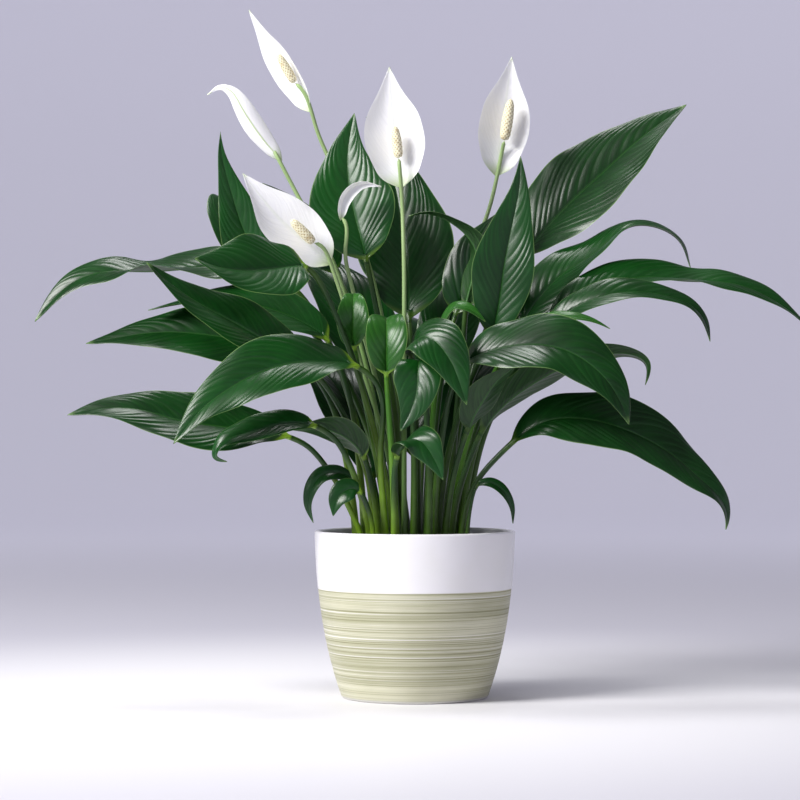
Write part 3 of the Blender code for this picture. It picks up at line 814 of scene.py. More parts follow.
def fill_mottle(sheet: Sheet, given: bpy.types.Node, out: bpy.types.Node) -> None:
    """Soft uneven patches, and a finer grain within them, over a piece's own coordinates.

    Args:
        sheet: the group's tree.
        given: its input node.
        out: its output node.
    """
    place = sheet.add("TexCoord").outputs["Object"]
    sheet.feed(out.inputs["Patches"], sheet.band(sheet.grain(place, given.outputs["Scale"]), 0.3, 0.7))
    fine = sheet.maths("MULTIPLY", given.outputs["Scale"], given.outputs["Fineness"])
    sheet.feed(out.inputs["Grain"], sheet.grain(place, fine, 4.0, 0.6))


class Effects:
    """The shader groups that several materials share."""

    def __init__(self) -> None:
        """Builds the groups."""
        self.striae = new_group("vein_striae", {"Run": 1.5, "Density": 5.0}, ["Lines"], fill_striae)
        self.mottle = new_group("mottle", {"Scale": 40.0, "Fineness": 20.0}, ["Patches", "Grain"],
                                fill_mottle)


def new_material(name: str) -> tuple[bpy.types.Material, Sheet, bpy.types.Node]:
    """An empty node material.

    Args:
        name: the material's name.

    Returns:
        The material, a sheet on its tree, and its Principled shader.
    """
    material = bpy.data.materials.new(name)
    material.use_nodes = True
    sheet = Sheet(material.node_tree)
    return material, sheet, material.node_tree.nodes["Principled BSDF"]


def add_bump(sheet: Sheet, shader: bpy.types.Node, height: Socket, distance: float, strength: float) -> None:
    """Feeds a shader's normal from a height in metres times distance."""
    bump = sheet.add("Bump", Height=height, Distance=distance, Strength=strength)
    sheet.feed(shader.inputs["Normal"], bump.outputs["Normal"])


# ---------------------------------------------------------------- finishes
Colour = tuple[float, float, float]


@dataclass(frozen=True)
class LeafFinish:
    """The waxy green of a leaf: linear colours of its upper face, underside, ribs, margin and stalk, and of
    the sheath, which is laid on the stalk's foot partly as painted light.
    """

    name: str
    deep: Colour
    light: Colour
    under: Colour
    rib: Colour
    margin: Colour
    stalk: Colour
    sheath: Colour
    roughness: float = 0.3
    coat: float = 0.14
    coat_roughness: float = 0.22
    refraction: float = 1.45
    specular: float = 0.36
    relief: float = 0.00009

    def material(self, effects: Effects) -> bpy.types.Material:
        """The leaf's material.

        Args:
            effects: the shared shader groups.

        Returns:
            A material that reads the skin's attributes.
        """
        material, sheet, shader = new_material(self.name)
        across = sheet.maths("ABSOLUTE", sheet.read("across"))
        along, blade, upper = sheet.read("along"), sheet.read("blade"), sheet.read("upper")
        vein, tone = sheet.read("vein"), sheet.read("tone")
        lines = sheet.group(effects.striae, Run=1.2, Density=4.0).outputs["Lines"]
        mottle = sheet.group(effects.mottle, Scale=38.0, Fineness=30.0)
        patches, grain = mottle.outputs["Patches"], mottle.outputs["Grain"]
        shade = sheet.maths("ADD", sheet.maths("MULTIPLY", patches, 0.3), sheet.maths("MULTIPLY", tone, 0.45))
        shade = sheet.maths("ADD", shade, sheet.maths("MULTIPLY", lines, 0.25), clamp=True)
        face = sheet.mix(shade, self.deep, self.light)
        furrow = sheet.maths("MULTIPLY", sheet.maths("SUBTRACT", 1.0, vein), 0.12)
        face = sheet.mix(furrow, face, self.rib)
        below = sheet.mix(sheet.maths("MULTIPLY", lines, 0.4), self.under, self.rib)
        colour = sheet.mix(upper, below, face)
        near_rib = sheet.maths("SUBTRACT", 1.0, sheet.band(across, 0.012, 0.05))
        colour = sheet.mix(sheet.maths("MULTIPLY", near_rib, sheet.spread(upper, 0.7, 0.3)), colour, self.rib)
        edge = sheet.band(across, 0.975, 1.0)
        colour = sheet.mix(sheet.maths("MULTIPLY", edge, 0.7), colour, self.margin)
        tip = sheet.maths("MULTIPLY", sheet.band(along, 0.95, 1.0), 0.5)
        colour = sheet.mix(tip, colour, self.margin)
        # painted light: the sheath's pale yellow-green at the stalk's foot, strongest on stalks towards the
        # key light; the pale knee under the blade is the stalk's own colour
        painted_foot_light = sheet.maths("SUBTRACT", 1.0, sheet.band(along, 0.1, 0.75))
        painted_foot_light = sheet.maths("MULTIPLY", painted_foot_light, sheet.read("pale"))
        knee = sheet.maths("MULTIPLY", sheet.band(along, 0.86, 0.96), 0.1)
        stem = sheet.mix(sheet.maths("MAXIMUM", painted_foot_light, knee), self.stalk, self.sheath)
        stem = sheet.mix(sheet.maths("MULTIPLY", patches, 0.4), stem, self.deep)
        colour = sheet.mix(sheet.band(blade, 0.0, 0.3), stem, colour)
        sheet.feed(shader.inputs["Base Color"], colour)
        rough = sheet.maths("ADD", self.roughness - 0.06, sheet.maths("MULTIPLY", grain, 0.14))
        rough = sheet.maths("ADD", rough, sheet.maths("MULTIPLY", sheet.maths("SUBTRACT", 1.0, upper), 0.14))
        sheet.feed(shader.inputs["Roughness"], rough)
        shader.inputs["IOR"].default_value = self.refraction
        shader.inputs["Specular IOR Level"].default_value = self.specular
        shader.inputs["Coat Weight"].default_value = self.coat
        shader.inputs["Coat Roughness"].default_value = self.coat_roughness
        height = sheet.maths("ADD", sheet.maths("MULTIPLY", lines, 0.6), sheet.maths("MULTIPLY", grain, 0.5))
        add_bump(sheet, shader, height, self.relief, 0.7)
        return material


@dataclass(frozen=True)
class SpatheFinish:
    """The soft white of a spathe, with green veins that are strongest at its base and on its back."""

    name: str = "spathe_white"
    white: Colour = (0.93, 0.93, 0.91)
    shadow: Colour = (0.82, 0.82, 0.84)
    green: Colour = (0.36, 0.5, 0.17)
    glow: float = 0.25
    glow_reach: tuple[float, float, float] = (0.004, 0.004, 0.003)
    relief: float = 0.0001

    def material(self, effects: Effects) -> bpy.types.Material:
        """The spathe's material.

        Args:
            effects: the shared shader groups.

        Returns:
            The material.
        """
        material, sheet, shader = new_material(self.name)
        across = sheet.maths("ABSOLUTE", sheet.read("across"))
        along, upper, vein = sheet.read("along"), sheet.read("upper"), sheet.read("vein")
        lines = sheet.group(effects.striae, Run=2.0, Density=2.0).outputs["Lines"]
        mottle = sheet.group(effects.mottle, Scale=55.0, Fineness=18.0)
        colour = sheet.mix(sheet.maths("MULTIPLY", lines, 0.35), self.white, self.shadow)
        furrow = sheet.maths("MULTIPLY", sheet.maths("SUBTRACT", 1.0, vein), 0.18)
        colour = sheet.mix(furrow, colour, self.shadow)
        base = sheet.maths("MULTIPLY", sheet.maths("SUBTRACT", 1.0, sheet.band(along, 0.0, 0.16)), 0.75)
        back = sheet.maths("SUBTRACT", 1.0, sheet.band(across, 0.02, 0.12))
        back = sheet.maths("MULTIPLY", back, sheet.spread(upper, 0.75, 0.12))
        tip = sheet.maths("MULTIPLY", sheet.band(along, 0.93, 1.0), 0.55)
        green = sheet.maths("MAXIMUM", base, sheet.maths("MAXIMUM", back, tip))
        sheet.feed(shader.inputs["Base Color"], sheet.mix(green, colour, self.green))
        sheet.feed(shader.inputs["Roughness"], sheet.spread(mottle.outputs["Grain"], 0.38, 0.55))
        shader.inputs["Subsurface Weight"].default_value = self.glow
        shader.inputs["Subsurface Radius"].default_value = self.glow_reach
        shader.inputs["Subsurface Scale"].default_value = 1.0
        height = sheet.maths("ADD", lines, sheet.maths("MULTIPLY", mottle.outputs["Grain"], 0.3))
        add_bump(sheet, shader, height, self.relief, 0.6)
        return material


@dataclass(frozen=True)
class StalkFinish:
    """A flower stalk's smooth pale green, paler towards the flower."""

    name: str = "flower_stalk_green"
    low: Colour = (0.11, 0.22, 0.045)
    high: Colour = (0.34, 0.47, 0.2)
    relief: float = 0.00008

    def material(self, effects: Effects) -> bpy.types.Material:
        """The stalk's material.

        Args:
            effects: the shared shader groups.

        Returns:
            The material.
        """
        material, sheet, shader = new_material(self.name)
        mottle = sheet.group(effects.mottle, Scale=60.0, Fineness=16.0)
        lines = sheet.group(effects.striae, Run=9.0, Density=0.12).outputs["Lines"]
        rise = sheet.band(sheet.read("along"), 0.25, 0.95)
        colour = sheet.mix(rise, self.low, self.high)
        colour = sheet.mix(sheet.maths("MULTIPLY", lines, 0.35), colour, self.low)
        sheet.feed(shader.inputs["Base Color"], colour)
        sheet.feed(shader.inputs["Roughness"], sheet.spread(mottle.outputs["Grain"], 0.32, 0.5))
        add_bump(sheet, shader, sheet.maths("ADD", lines, mottle.outputs["Grain"]), self.relief, 0.6)
        return material


@dataclass(frozen=True)
class SpadixFinish:
    """A spadix's cream buds with yellow-brown between them."""

    name: str = "spadix_cream"
    bud: Colour = (0.84, 0.79, 0.56)
    gap: Colour = (0.4, 0.27, 0.09)
    relief: float = 0.0002

    def material(self, effects: Effects) -> bpy.types.Material:
        """The spadix's material.

        Args:
            effects: the shared shader groups.

        Returns:
            The material.
        """
        material, sheet, shader = new_material(self.name)
        mottle = sheet.group(effects.mottle, Scale=260.0, Fineness=8.0)
        bud = sheet.band(sheet.read("bud"), 0.15, 0.75)
        colour = sheet.mix(bud, self.gap, self.bud)
        speck = sheet.maths("MULTIPLY", sheet.band(mottle.outputs["Patches"], 0.75, 1.0), 0.5)
        colour = sheet.mix(speck, colour, self.gap)
        sheet.feed(shader.inputs["Base Color"], colour)
        sheet.feed(shader.inputs["Roughness"], sheet.spread(mottle.outputs["Grain"], 0.55, 0.8))
        add_bump(sheet, shader, mottle.outputs["Grain"], self.relief, 0.6)
        return material


@dataclass(frozen=True)
class GlazeFinish:
    """The outer pot: a glossy white band and inside, and brushed cream-olive rings below the band."""

    band_edge: float
    name: str = "pot_glaze"
    white: Colour = (0.83, 0.82, 0.84)
    cream: Colour = (0.62, 0.61, 0.46)
    olive: Colour = (0.2, 0.2, 0.085)
    foot: Colour = (0.6, 0.59, 0.55)
    stroke_scale: tuple[float, float, float] = (1.3, 1.3, 760.0)
    broad_scale: tuple[float, float, float] = (4.0, 4.0, 130.0)
    edge_width: float = 0.0004
    relief: float = 0.0003

    def material(self, effects: Effects) -> bpy.types.Material:
        """The pot's material.

        Args:
            effects: the shared shader groups.

        Returns:
            The material.
        """
        material, sheet, shader = new_material(self.name)
        place = sheet.add("TexCoord").outputs["Object"]
        split = sheet.add("SeparateXYZ", Vector=place)
        strokes = sheet.add("Mapping", Vector=place, Scale=self.stroke_scale).outputs[0]
        broad = sheet.add("Mapping", Vector=place, Scale=self.broad_scale).outputs[0]
        fine = sheet.grain(strokes, 1.0, 3.0, 0.7)
        wide = sheet.grain(broad, 1.0, 2.0, 0.5)
        mottle = sheet.group(effects.mottle, Scale=30.0, Fineness=40.0)
        lines = sheet.maths("SUBTRACT", 1.0, sheet.band(fine, 0.4, 0.5))
        lines = sheet.maths("MULTIPLY", lines, sheet.spread(sheet.band(wide, 0.35, 0.65), 0.55, 0.9))
        body = sheet.mix(sheet.maths("MULTIPLY", sheet.band(wide, 0.3, 0.7), 0.5), self.cream, self.olive)
        body = sheet.mix(sheet.maths("MULTIPLY", mottle.outputs["Patches"], 0.15), body, self.olive)
        body = sheet.mix(lines, body, self.olive)
        body = sheet.mix(sheet.maths("MULTIPLY", sheet.band(fine, 0.56, 0.66), 0.7), body, self.white)
        foot = sheet.maths("SUBTRACT", 1.0, sheet.band(split.outputs["Z"], 0.001, 0.003))
        body = sheet.mix(foot, body, self.foot)
        inside = sheet.read("inside")
        edge = sheet.band(split.outputs["Z"], self.band_edge - self.edge_width,
                          self.band_edge + self.edge_width)
        glazed = sheet.maths("MAXIMUM", edge, inside)
        white = sheet.mix(sheet.maths("MULTIPLY", mottle.outputs["Patches"], 0.1), self.white, self.cream)
        sheet.feed(shader.inputs["Base Color"], sheet.mix(glazed, body, white))
        rough = sheet.spread(glazed, 0.42, 0.14)
        rough = sheet.maths("ADD", rough, sheet.maths("MULTIPLY", mottle.outputs["Grain"], 0.08))
        sheet.feed(shader.inputs["Roughness"], rough)
        bare = sheet.maths("SUBTRACT", 1.0, glazed)
        height = sheet.maths("MULTIPLY", fine, bare)
        add_bump(sheet, shader, height, self.relief, 0.8)
        return material


@dataclass(frozen=True)
class PlasticFinish:
    """The nursery pot's thin black plastic, dusted with soil."""

    name: str = "nursery_plastic"
    black: Colour = (0.012, 0.012, 0.013)
    dust: Colour = (0.07, 0.05, 0.035)
    relief: float = 0.0001

    def material(self, effects: Effects) -> bpy.types.Material:
        """The plastic's material.

        Args:
            effects: the shared shader groups.

        Returns:
            The material.
        """
        material, sheet, shader = new_material(self.name)
        mottle = sheet.group(effects.mottle, Scale=90.0, Fineness=25.0)
        dusty = sheet.maths("MULTIPLY", mottle.outputs["Patches"], 0.35)
        sheet.feed(shader.inputs["Base Color"], sheet.mix(dusty, self.black, self.dust))
        sheet.feed(shader.inputs["Roughness"], sheet.spread(mottle.outputs["Patches"], 0.35, 0.6))
        add_bump(sheet, shader, mottle.outputs["Grain"], self.relief, 0.5)
        return material


@dataclass(frozen=True)
class SoilFinish:
    """Moist potting mix: dark peat with brown fibres."""

    name: str = "potting_soil"
    dark: Colour = (0.018, 0.011, 0.007)
    brown: Colour = (0.13, 0.075, 0.04)
    relief: float = 0.0008

    def material(self, effects: Effects) -> bpy.types.Material:
        """The soil's material.

        Args:
            effects: the shared shader groups.

        Returns:
            The material.
        """
        material, sheet, shader = new_material(self.name)
        mottle = sheet.group(effects.mottle, Scale=220.0, Fineness=7.0)
        fibre = sheet.band(mottle.outputs["Grain"], 0.35, 0.7)
        shade = sheet.maths("MULTIPLY", mottle.outputs["Patches"], fibre)
        sheet.feed(shader.inputs["Base Color"], sheet.mix(shade, self.dark, self.brown))
        sheet.feed(shader.inputs["Roughness"], sheet.spread(mottle.outputs["Grain"], 0.8, 0.98))
        add_bump(sheet, shader, mottle.outputs["Grain"], self.relief, 0.9)
        return material


# ---------------------------------------------------------------- leaves
class Age(Enum):
    """How old a leaf is, which sets its finish."""

    GROWN = "leaf_deep_green"
    YOUNG = "leaf_young_green"


GROWN_GREEN = LeafFinish(
    "leaf_deep_green", deep=(0.0006, 0.012, 0.0012), light=(0.005, 0.066, 0.007), under=(0.007, 0.03, 0.007),
    rib=(0.035, 0.13, 0.02), margin=(0.2, 0.34, 0.1), stalk=(0.013, 0.056, 0.005), sheath=(0.25, 0.45, 0.03))
YOUNG_GREEN = LeafFinish(
    "leaf_young_green", deep=(0.007, 0.055, 0.004), light=(0.024, 0.135, 0.011), under=(0.03, 0.13, 0.014),
    rib=(0.12, 0.33, 0.05), margin=(0.3, 0.46, 0.14), stalk=(0.06, 0.2, 0.012), sheath=(0.3, 0.5, 0.05),
    roughness=0.34)


@dataclass
class Leaf:
    """One leaf with its stalk, drawn over its CAD node."""

    node: str
    age: Age
    seed: int
    tone: float
    build: Build = field(default_factory=Build)
    stalk_rings: int = 6

    def place(self, materials: dict[Age, bpy.types.Material]) -> None:
        """Builds the leaf and puts it in the scene.

        Args:
            materials: the leaf material for each age.
        """
        rings = Rings.of(self.node)
        # painted light: stalks whose feet stand to the left front, towards the key light, get paler sheaths;
        # every stalk keeps a faint pale sheath
        lit = ease(-rings.foot[0], -0.004, 0.03) * ease(-rings.foot[1], -0.03, 0.0)
        skin = Skin(rings, self.stalk_rings, self.build, self.seed, self.tone, 0.15 + 0.85 * float(lit))
        place_piece(f"{self.node}_skin", skin.mesh(self.node, rings.points), materials[self.age],
                    self.node)


@dataclass
class Foliage:
    """All the leaves. Those listed as dark, most of them deep inside, behind or face down in the plant, get
    the darkest green as painted shade.
    """

    young: tuple[str, ...] = ("leaf_centre_short", "leaf_centre_left_short", "leaf_right_small_light",
                              "leaf_centre_small_right")
    dark: tuple[str, ...] = ("leaf_right_underside", "leaf_right_inner", "leaf_left_underside",
                             # painted shade: these leaves, deep inside, behind or face down in the plant, get
                             # the darkest green
                             "leaf_behind_right", "leaf_left_dark_tip")

    def leaves(self) -> list[Leaf]:
        """Every leaf of the frame, each with its own tone at random, but the darkest tone, as painted shade,
        for the leaves listed as dark.

        Returns:
            The leaves, in the order of their names.
        """
        names = sorted(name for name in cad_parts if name.startswith("leaf_"))
        dice = random.Random(11)
        made = []
        for seed, name in enumerate(names):
            tone = dice.uniform(0.1, 1.0)
            # painted shade: the listed leaves take the darkest tone
            if name in self.dark:
                tone = 0.0
            made.append(Leaf(name, Age.YOUNG if name in self.young else Age.GROWN, seed, tone))
        return made

    def place(self, effects: Effects) -> None:
        """Builds every leaf.

        Args:
            effects: the shared shader groups.
        """
        materials = {Age.GROWN: GROWN_GREEN.material(effects), Age.YOUNG: YOUNG_GREEN.material(effects)}
        for leaf in self.leaves():
            leaf.place(materials)


# ---------------------------------------------------------------- flowers
@dataclass
class Spadix:
    """A flower's spike of buds, with the buds standing in staggered rows."""

    node: str
    around: int = 8
    row_gap: float = 0.0032
    bud_height: float = 0.00055
    full_bud_radius: float = 0.0016
    inset: float = 0.0002
    segments: int = 64
    rings: int = 96

    def mesh(self) -> bpy.types.Mesh:
        """A sphere drawn out to the CAD's spike and covered with buds.

        Returns:
            The closed mesh, with a float attribute that is 1 on a bud and 0 between buds.
        """
        rings = Rings.of(self.node)
        base, tip = Vector(rings.foot), Vector(rings.tip)
        axis = tip - base
        centres = rings.points.mean(axis=1)
        shares = np.array([(Vector(c) - base).dot(axis) / axis.length_squared for c in centres])
        radii = np.linalg.norm(rings.points - centres[:, None], axis=2).mean(axis=1)
        spin = axis.to_track_quat("Z", "Y").to_matrix()
        bm = bmesh.new()
        bmesh.ops.create_uvsphere(bm, u_segments=self.segments, v_segments=self.rings, radius=1.0)
        layer = bm.verts.layers.float.new("bud")
        rows = axis.length / self.row_gap
        for vert in bm.verts:
            share = 1 - math.acos(max(-1.0, min(1.0, vert.co.z))) / math.pi
            angle = math.atan2(vert.co.y, vert.co.x)
            radius = float(np.interp(share, np.array([0, *shares, 1]), np.array([0, *radii, 0])))
            bud = math.cos(self.around * angle) * math.cos(2 * math.pi * rows * share)
            bud = math.sqrt(max(0.0, 0.5 + 0.5 * bud))
            calm = min(1.0, radius / self.full_bud_radius)
            out = radius - self.inset + self.bud_height * (bud - 0.5) * calm
            out = max(out, 0.0)
            spot = Vector((math.cos(angle) * out, math.sin(angle) * out, axis.length * share))
            vert.co = base + spin @ spot
            vert[layer] = bud
        return finished_mesh(self.node, bm, 80.0)


@dataclass
class Flowers:
    """Every flower's stalk, spathe and spadix."""

    spathe_build: Build = field(default_factory=lambda: Build(
        thickness=0.0006, vein_gap=0.003, vein_height=0.00008, ripple=0.0007, groove=0.0, rows_per_vein=8))

    def place(self, effects: Effects) -> None:
        """Builds every flower.

        Args:
            effects: the shared shader groups.
        """
        stalk_green = StalkFinish().material(effects)
        white = SpatheFinish().material(effects)
        cream = SpadixFinish().material(effects)
        names = sorted(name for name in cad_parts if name.startswith("flower_"))
        for seed, name in enumerate(names):
            if name.endswith("_spadix"):
                place_piece(f"{name}_buds", Spadix(name).mesh(), cream, name)
                continue
            rings = Rings.of(name)
            if name.endswith("_stalk"):
                skin = Skin(rings, len(rings.points), Build(stalk_row_gap=0.003), seed, 0.5)
                place_piece(f"{name}_skin", skin.mesh(name, rings.points), stalk_green, name)
            else:
                skin = Skin(rings, 0, self.spathe_build, seed, 0.5)
                place_piece(f"{name}_skin", skin.mesh(name, rings.points), white, name)


# ---------------------------------------------------------------- pots and soil
def outer_radii(node: str) -> tuple[list[float], list[float]]:
    """The greatest radius of a turned CAD node at each height where it has a ring.

    Args:
        node: the CAD node.

    Returns:
        Heights, rising, and the radius at each.
    """
    widest: dict[float, float] = {}
    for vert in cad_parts[node].data.vertices:
        height = round(vert.co.z, 5)
        widest[height] = max(widest.get(height, 0.0), math.hypot(vert.co.x, vert.co.y))
    heights = sorted(widest)
    return heights, [widest[height] for height in heights]


def turned(outline: Sequence[tuple[float, float]], steps: int) -> bmesh.types.BMesh:
    """Turns an outline round the Z axis.

    Args:
        outline: (radius, height) points, of which the first and the last are on the axis.
        steps: how many faces go round.

    Returns:
        The closed shape, whose faces may still point in.
    """
    bm = bmesh.new()
    verts = [bm.verts.new((radius, 0.0, height)) for radius, height in outline]
    edges = [bm.edges.new(pair) for pair in zip(verts, verts[1:])]
    bmesh.ops.spin(bm, geom=verts + edges, cent=(0, 0, 0), axis=(0, 0, 1), angle=2 * math.pi, steps=steps,
                   use_merge=True)
    bmesh.ops.remove_doubles(bm, verts=bm.verts[:], dist=1e-6)
    return bm


def arc(centre: tuple[float, float], radius: float, start: float, end: float, steps: int = 6
        ) -> list[tuple[float, float]]:
    """Points of an arc in an outline.

    Args:
        centre: the arc's centre, as (radius, height).
        radius: its radius.
        start: the angle it starts at, in degrees from straight out.
        end: the angle it ends at.
        steps: how many straight runs it has.

    Returns:
        The arc's points.
    """
    points = []
    for i in range(steps + 1):
        angle = math.radians(start + (end - start) * i / steps)
        points.append((centre[0] + radius * math.cos(angle), centre[1] + radius * math.sin(angle)))
    return points


@dataclass
class OuterPot:
    """The ceramic outer pot, with its glazed band a little proud of the brushed body below."""

    node: str = "outer_pot"
    wall: float = 0.0035
    floor: float = 0.005
    band_height: float = 0.043
    glaze: float = 0.00025
    ring_gap: float = 0.0006
    ring_depth: float = 0.00012
    rim_round: float = 0.0015
    band_rows: int = 14
    inside_rows: int = 23
    steps: int = 168

    def side_radius(self, height: float) -> float:
        """The body's outer radius at a height, smooth through the CAD's rings."""
        return float(self.curve.at(np.array([height]))[0, 0])

    def outline(self) -> list[tuple[float, float]]:
        """The pot's outline, from the middle of its underside, out, over the rim and back to its floor.

        Returns:
            Its (radius, height) points.
        """
        heights, radii = outer_radii(self.node)
        self.top = heights[-1]
        side: list[tuple[float, float]] = []
        for height, radius in zip(heights, radii):
            if 0.002 < height < self.top - 0.0005 and (not side or radius > side[-1][1]):
                side.append((height, radius))
        self.curve = Spline(np.array([h for h, _ in side]), np.array([[r] for _, r in side]))
        self.band_edge = self.top - self.band_height
        foot = radii[0]
        low = side[0][0]
        points = [(0.0, 0.0), (foot - 0.004, 0.0), (foot - 0.0005, 0.0)]
        points += [(foot + 0.0006, 0.0007), (self.side_radius(low) - 0.0004, low - 0.0009)]
        rows = int((self.band_edge - low) / self.ring_gap)
        for i in range(rows):
            height = low + (self.band_edge - 0.0006 - low) * i / (rows - 1)
            points.append((self.side_radius(height), height))
        points.append((self.side_radius(self.band_edge) + self.glaze * 0.8, self.band_edge - 0.0002))
        rim = self.rim_round
        for i in range(self.band_rows + 1):
            height = self.band_edge + 0.0003 + (self.top - rim - self.band_edge - 0.0003) * i / self.band_rows
            points.append((self.side_radius(height) + self.glaze, height))
        outer = points[-1][0]
        inner = outer - self.glaze - self.wall
        points += arc((outer - rim, self.top - rim), rim, 15, 90)
        points += arc((inner + rim, self.top - rim), rim, 90, 180)
        for i in range(1, self.inside_rows + 1):
            height = self.top - rim - (self.top - rim - self.floor - 0.004) * i / self.inside_rows
            points.append((self.side_radius(height) - self.wall, height))
        edge = points[-1][0]
        points += [(edge - 0.0012, self.floor + 0.0012), (edge - 0.004, self.floor), (0.0, self.floor)]
        return points

    def place(self, effects: Effects) -> None:
        """Builds the pot and puts it in the scene.

        Args:
            effects: the shared shader groups.
        """
        bm = turned(self.outline(), self.steps)
        inside = bm.verts.layers.float.new("inside")
        for vert in bm.verts:
            radius = math.hypot(vert.co.x, vert.co.y)
            height = vert.co.z
            within = height > 0.003 and radius < self.side_radius(height) - self.wall * 0.6
            vert[inside] = 1.0 if within else 0.0
            if within or height > self.band_edge - 0.0005 or height < 0.002:
                continue
            spot = Vector((vert.co.x * 6, vert.co.y * 6, height * 1100))
            groove = noise.noise(spot) + 0.5 * noise.noise(spot * 2.3)
            scale = 1 + self.ring_depth * groove / radius
            vert.co.x *= scale
            vert.co.y *= scale
        material = GlazeFinish(self.band_edge).material(effects)
        place_piece("outer_pot_ceramic", finished_mesh(self.node, bm, 40.0), material, self.node)


@dataclass
class NurseryPot:
    """The thin plastic growing pot, with its stiffening lip."""

    node: str = "nursery_pot"
    wall: float = 0.0012
    lip_height: float = 0.007
    steps: int = 120

    def place(self, effects: Effects) -> None:
        """Builds the pot and puts it in the scene.

        Args:
            effects: the shared shader groups.
        """
        heights, radii = outer_radii(self.node)
        foot, top = heights[0], heights[-1]
        low, lip = radii[0], radii[-1]
        neck = next(r for h, r in zip(heights[::-1], radii[::-1]) if h < top - self.lip_height - 0.0005)
        shoulder = top - self.lip_height
        points = [(0.0, foot), (low - 0.001, foot), (low, foot + 0.001)]
        points += [(neck, shoulder - 0.001), (neck + 0.0004, shoulder - 0.0002), (lip - 0.0003, shoulder)]
        points += [(lip, shoulder + 0.0004), (lip, top - 0.0005)]
        points += arc((lip - 0.0006, top - 0.0006), 0.0006, 0, 180)
        points += [(lip - self.wall, shoulder + self.wall + 0.0004), (neck - self.wall, shoulder + 0.0006)]
        points += [(low - self.wall, foot + self.wall), (0.0, foot + self.wall)]
        bm = turned(points, self.steps)
        material = PlasticFinish().material(effects)
        place_piece("nursery_pot_shell", finished_mesh(self.node, bm, 40.0), material,
                    self.node)


@dataclass
class Soil:
    """Potting mix: a lumpy bed and loose crumbs on it."""

    node: str = "soil"
    steps: int = 110
    bed_rings: int = 34
    crumbs: int = 900
    smallest_crumb: float = 0.0006
    crumb_range: float = 0.0014
    clear_edge: float = 0.003
    seed: int = 5

    def bed(self) -> bpy.types.Mesh:
        """The bed, turned and then roughened on top.

        Returns:
            Its mesh.
        """
        heights, radii = outer_radii(self.node)
        foot, top = heights[0], heights[-1]
        self.top = top
        self.edge = max(radii)
        points = [(0.0, foot), (radii[0], foot), (self.edge, top - 0.0012)]
        for i in range(1, self.bed_rings + 1):
            share = 1 - i / self.bed_rings
            points.append((self.edge * share, top - 0.001 * ease(np.array(share), 0.9, 1.0).item()))
        bm = turned(points, self.steps)
        for vert in bm.verts:
            if vert.co.z > top - 0.002:
                spot = vert.co * 210
                vert.co.z += 0.0011 * noise.noise(spot) + 0.0007 * noise.noise(spot * 2.7)
        return finished_mesh(self.node, bm, 80.0)

    def loose_crumbs(self) -> bpy.types.Mesh:
        """Crumbs of many sizes, each a small rough ball, scattered over the bed.

        Returns:
            All of them in one mesh.
        """
        dice = random.Random(self.seed)
        bm = bmesh.new()
        for _ in range(self.crumbs):
            reach = (self.edge - self.clear_edge) * math.sqrt(dice.random())
            angle = dice.uniform(0, 2 * math.pi)
            size = self.smallest_crumb + self.crumb_range * dice.random() ** 3
            spot = Vector((reach * math.cos(angle), reach * math.sin(angle), self.top + size * 0.35))
            sizes = (dice.uniform(0.7, 1.5), dice.uniform(0.7, 1.3), dice.uniform(0.5, 0.9), 1)
            stretch = Matrix.Diagonal(sizes)
            turn = Matrix.Rotation(dice.uniform(0, math.pi), 4, "Z")
            ball = bmesh.ops.create_icosphere(bm, subdivisions=1, radius=size,
                                              matrix=Matrix.Translation(spot) @ turn @ stretch)
            for vert in ball["verts"]:
                vert.co += Vector((dice.gauss(0, 1), dice.gauss(0, 1), dice.gauss(0, 1))) * size * 0.12
        return finished_mesh("crumbs", bm, 60.0)

    def place(self, effects: Effects) -> None:
        """Builds the soil and puts it in the scene.

        Args:
            effects: the shared shader groups.
        """
        material = SoilFinish().material(effects)
        place_piece("soil_bed", self.bed(), material, self.node)
        place_piece("soil_crumbs", self.loose_crumbs(), material)


# ---------------------------------------------------------------- studio
@dataclass(frozen=True)
class SoftLight:
    """A soft box: where it stands, what it looks at, its size in metres, power in watts and colour."""

    name: str
    spot: tuple[float, float, float]
    size: float
    power: float
    colour: Colour = (1.0, 1.0, 1.0)
    target: tuple[float, float, float] = (0.0, 0.0, 0.3)

    def place(self) -> None:
        """Puts the light in the scene."""
        data = bpy.data.lights.new(self.name, "AREA")
        data.shape = "DISK"
        data.size = self.size
        data.energy = self.power
        data.color = self.colour
        light = bpy.data.objects.new(self.name, data)
        light.location = self.spot
        light.rotation_euler = (Vector(self.target) - Vector(self.spot)).to_track_quat("-Z", "Y").to_euler()
        light.visible_camera = False
        bpy.context.scene.collection.objects.link(light)


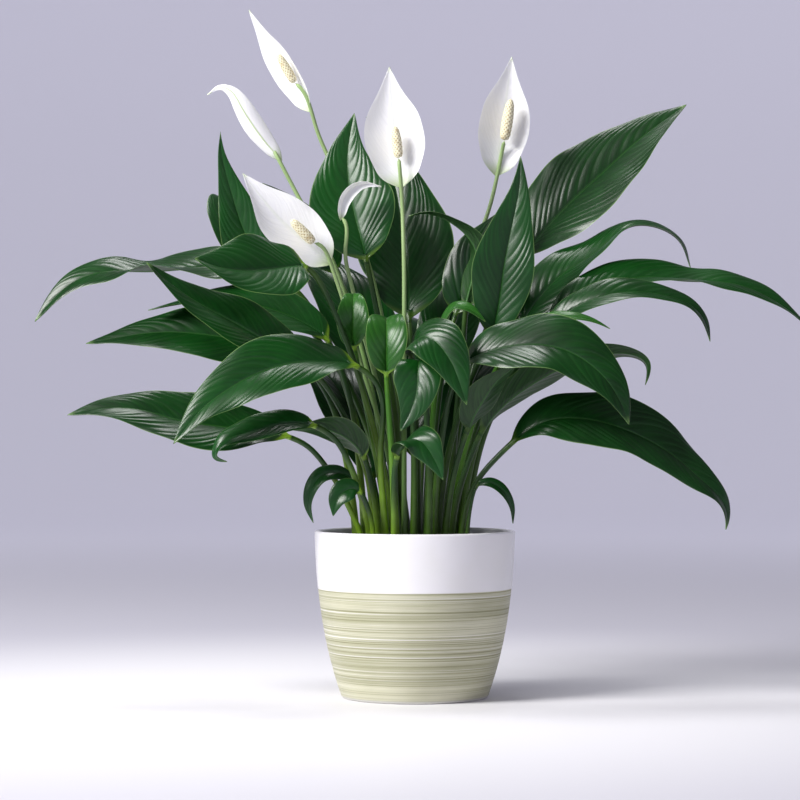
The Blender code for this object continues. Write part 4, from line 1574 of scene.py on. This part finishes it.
@dataclass
class Studio:
    """A pale floor that curves up all round, soft lights and the camera."""

    flat: float = 3.3
    bend: float = 1.2
    wall_top: float = 2.6
    lights: tuple[SoftLight, ...] = (
        SoftLight("key_light", (-1.5, -1.0, 1.5), 1.0, 70.0, (1.0, 0.99, 0.97)),
        SoftLight("top_light", (-0.2, 0.4, 1.9), 0.6, 12.0),
        SoftLight("fill_light", (1.6, -1.8, 0.8), 1.2, 0.5, (0.9, 0.92, 1.0)),
    )
    camera_spot: tuple[float, float, float] = (-0.0111, -2.0, 0.205)
    lens: float = 120.0
    shift_up: float = 0.0296
    near_floor: Colour = (0.86, 0.85, 0.88)
    far_floor: Colour = (0.56, 0.55, 0.62)
    wall_glow: Colour = (0.225, 0.222, 0.268)
    sky: Colour = (0.86, 0.86, 0.95)
    sky_strength: float = 0.17

    def floor_material(self) -> bpy.types.Material:
        """White near the pot, turning to a pale lavender further out.

        Returns:
            The floor's material.
        """
        material, sheet, shader = new_material("studio_floor")
        place = sheet.add("TexCoord").outputs["Object"]
        reach = sheet.add("VectorMath", {"operation": "LENGTH"}, Vector=place).outputs["Value"]
        colour = sheet.mix(sheet.band(reach, 0.15, 0.75), self.near_floor, self.far_floor)
        sheet.feed(shader.inputs["Base Color"], colour)
        sheet.feed(shader.inputs["Emission Color"],
                   sheet.mix(sheet.band(reach, 0.6, 3.0), (0.0, 0.0, 0.0), self.wall_glow))
        shader.inputs["Emission Strength"].default_value = 1.0
        shader.inputs["Roughness"].default_value = 0.55
        return material

    def floor(self) -> None:
        """The floor, flat under the object and curved up to a round wall."""
        points = [(0.0, 0.0), (0.4, 0.0), (1.0, 0.0), (2.0, 0.0), (self.flat, 0.0)]
        points += arc((self.flat, self.bend), self.bend, -80, 0, 12)
        points.append((self.flat + self.bend, self.wall_top))
        mesh = finished_mesh("studio_floor", turned(points, 96))
        mesh.materials.append(self.floor_material())
        floor = bpy.data.objects.new("studio_floor", mesh)
        bpy.context.scene.collection.objects.link(floor)

    def world(self) -> None:
        """A soft even sky."""
        world = bpy.data.worlds.new("soft_sky")
        world.use_nodes = True
        background = world.node_tree.nodes["Background"]
        background.inputs["Color"].default_value = (*self.sky, 1.0)
        background.inputs["Strength"].default_value = self.sky_strength
        bpy.context.scene.world = world

    def camera(self) -> None:
        """A long lens, level with the leaves' stalks, looking along +Y."""
        data = bpy.data.cameras.new("camera")
        data.sensor_width = 36.0
        data.lens = self.lens
        data.shift_y = self.shift_up
        data.clip_end = 60.0
        camera = bpy.data.objects.new("camera", data)
        camera.location = self.camera_spot
        camera.rotation_euler = (math.pi / 2, 0.0, 0.0)
        bpy.context.scene.collection.objects.link(camera)
        bpy.context.scene.camera = camera

    def place(self) -> None:
        """Builds the whole studio."""
        self.floor()
        self.world()
        self.camera()
        for light in self.lights:
            light.place()


def main() -> None:
    """Builds every piece in order."""
    logging.basicConfig(level=logging.INFO, format="%(name)s %(message)s")
    bpy.context.scene.view_settings.view_transform = "Standard"
    effects = Effects()
    for part in (OuterPot(), NurseryPot(), Soil(), Foliage(), Flowers()):
        part.place(effects)
        LOG.info("%s done", type(part).__name__)
    Studio().place()


if __name__ == "__main__":
    main()
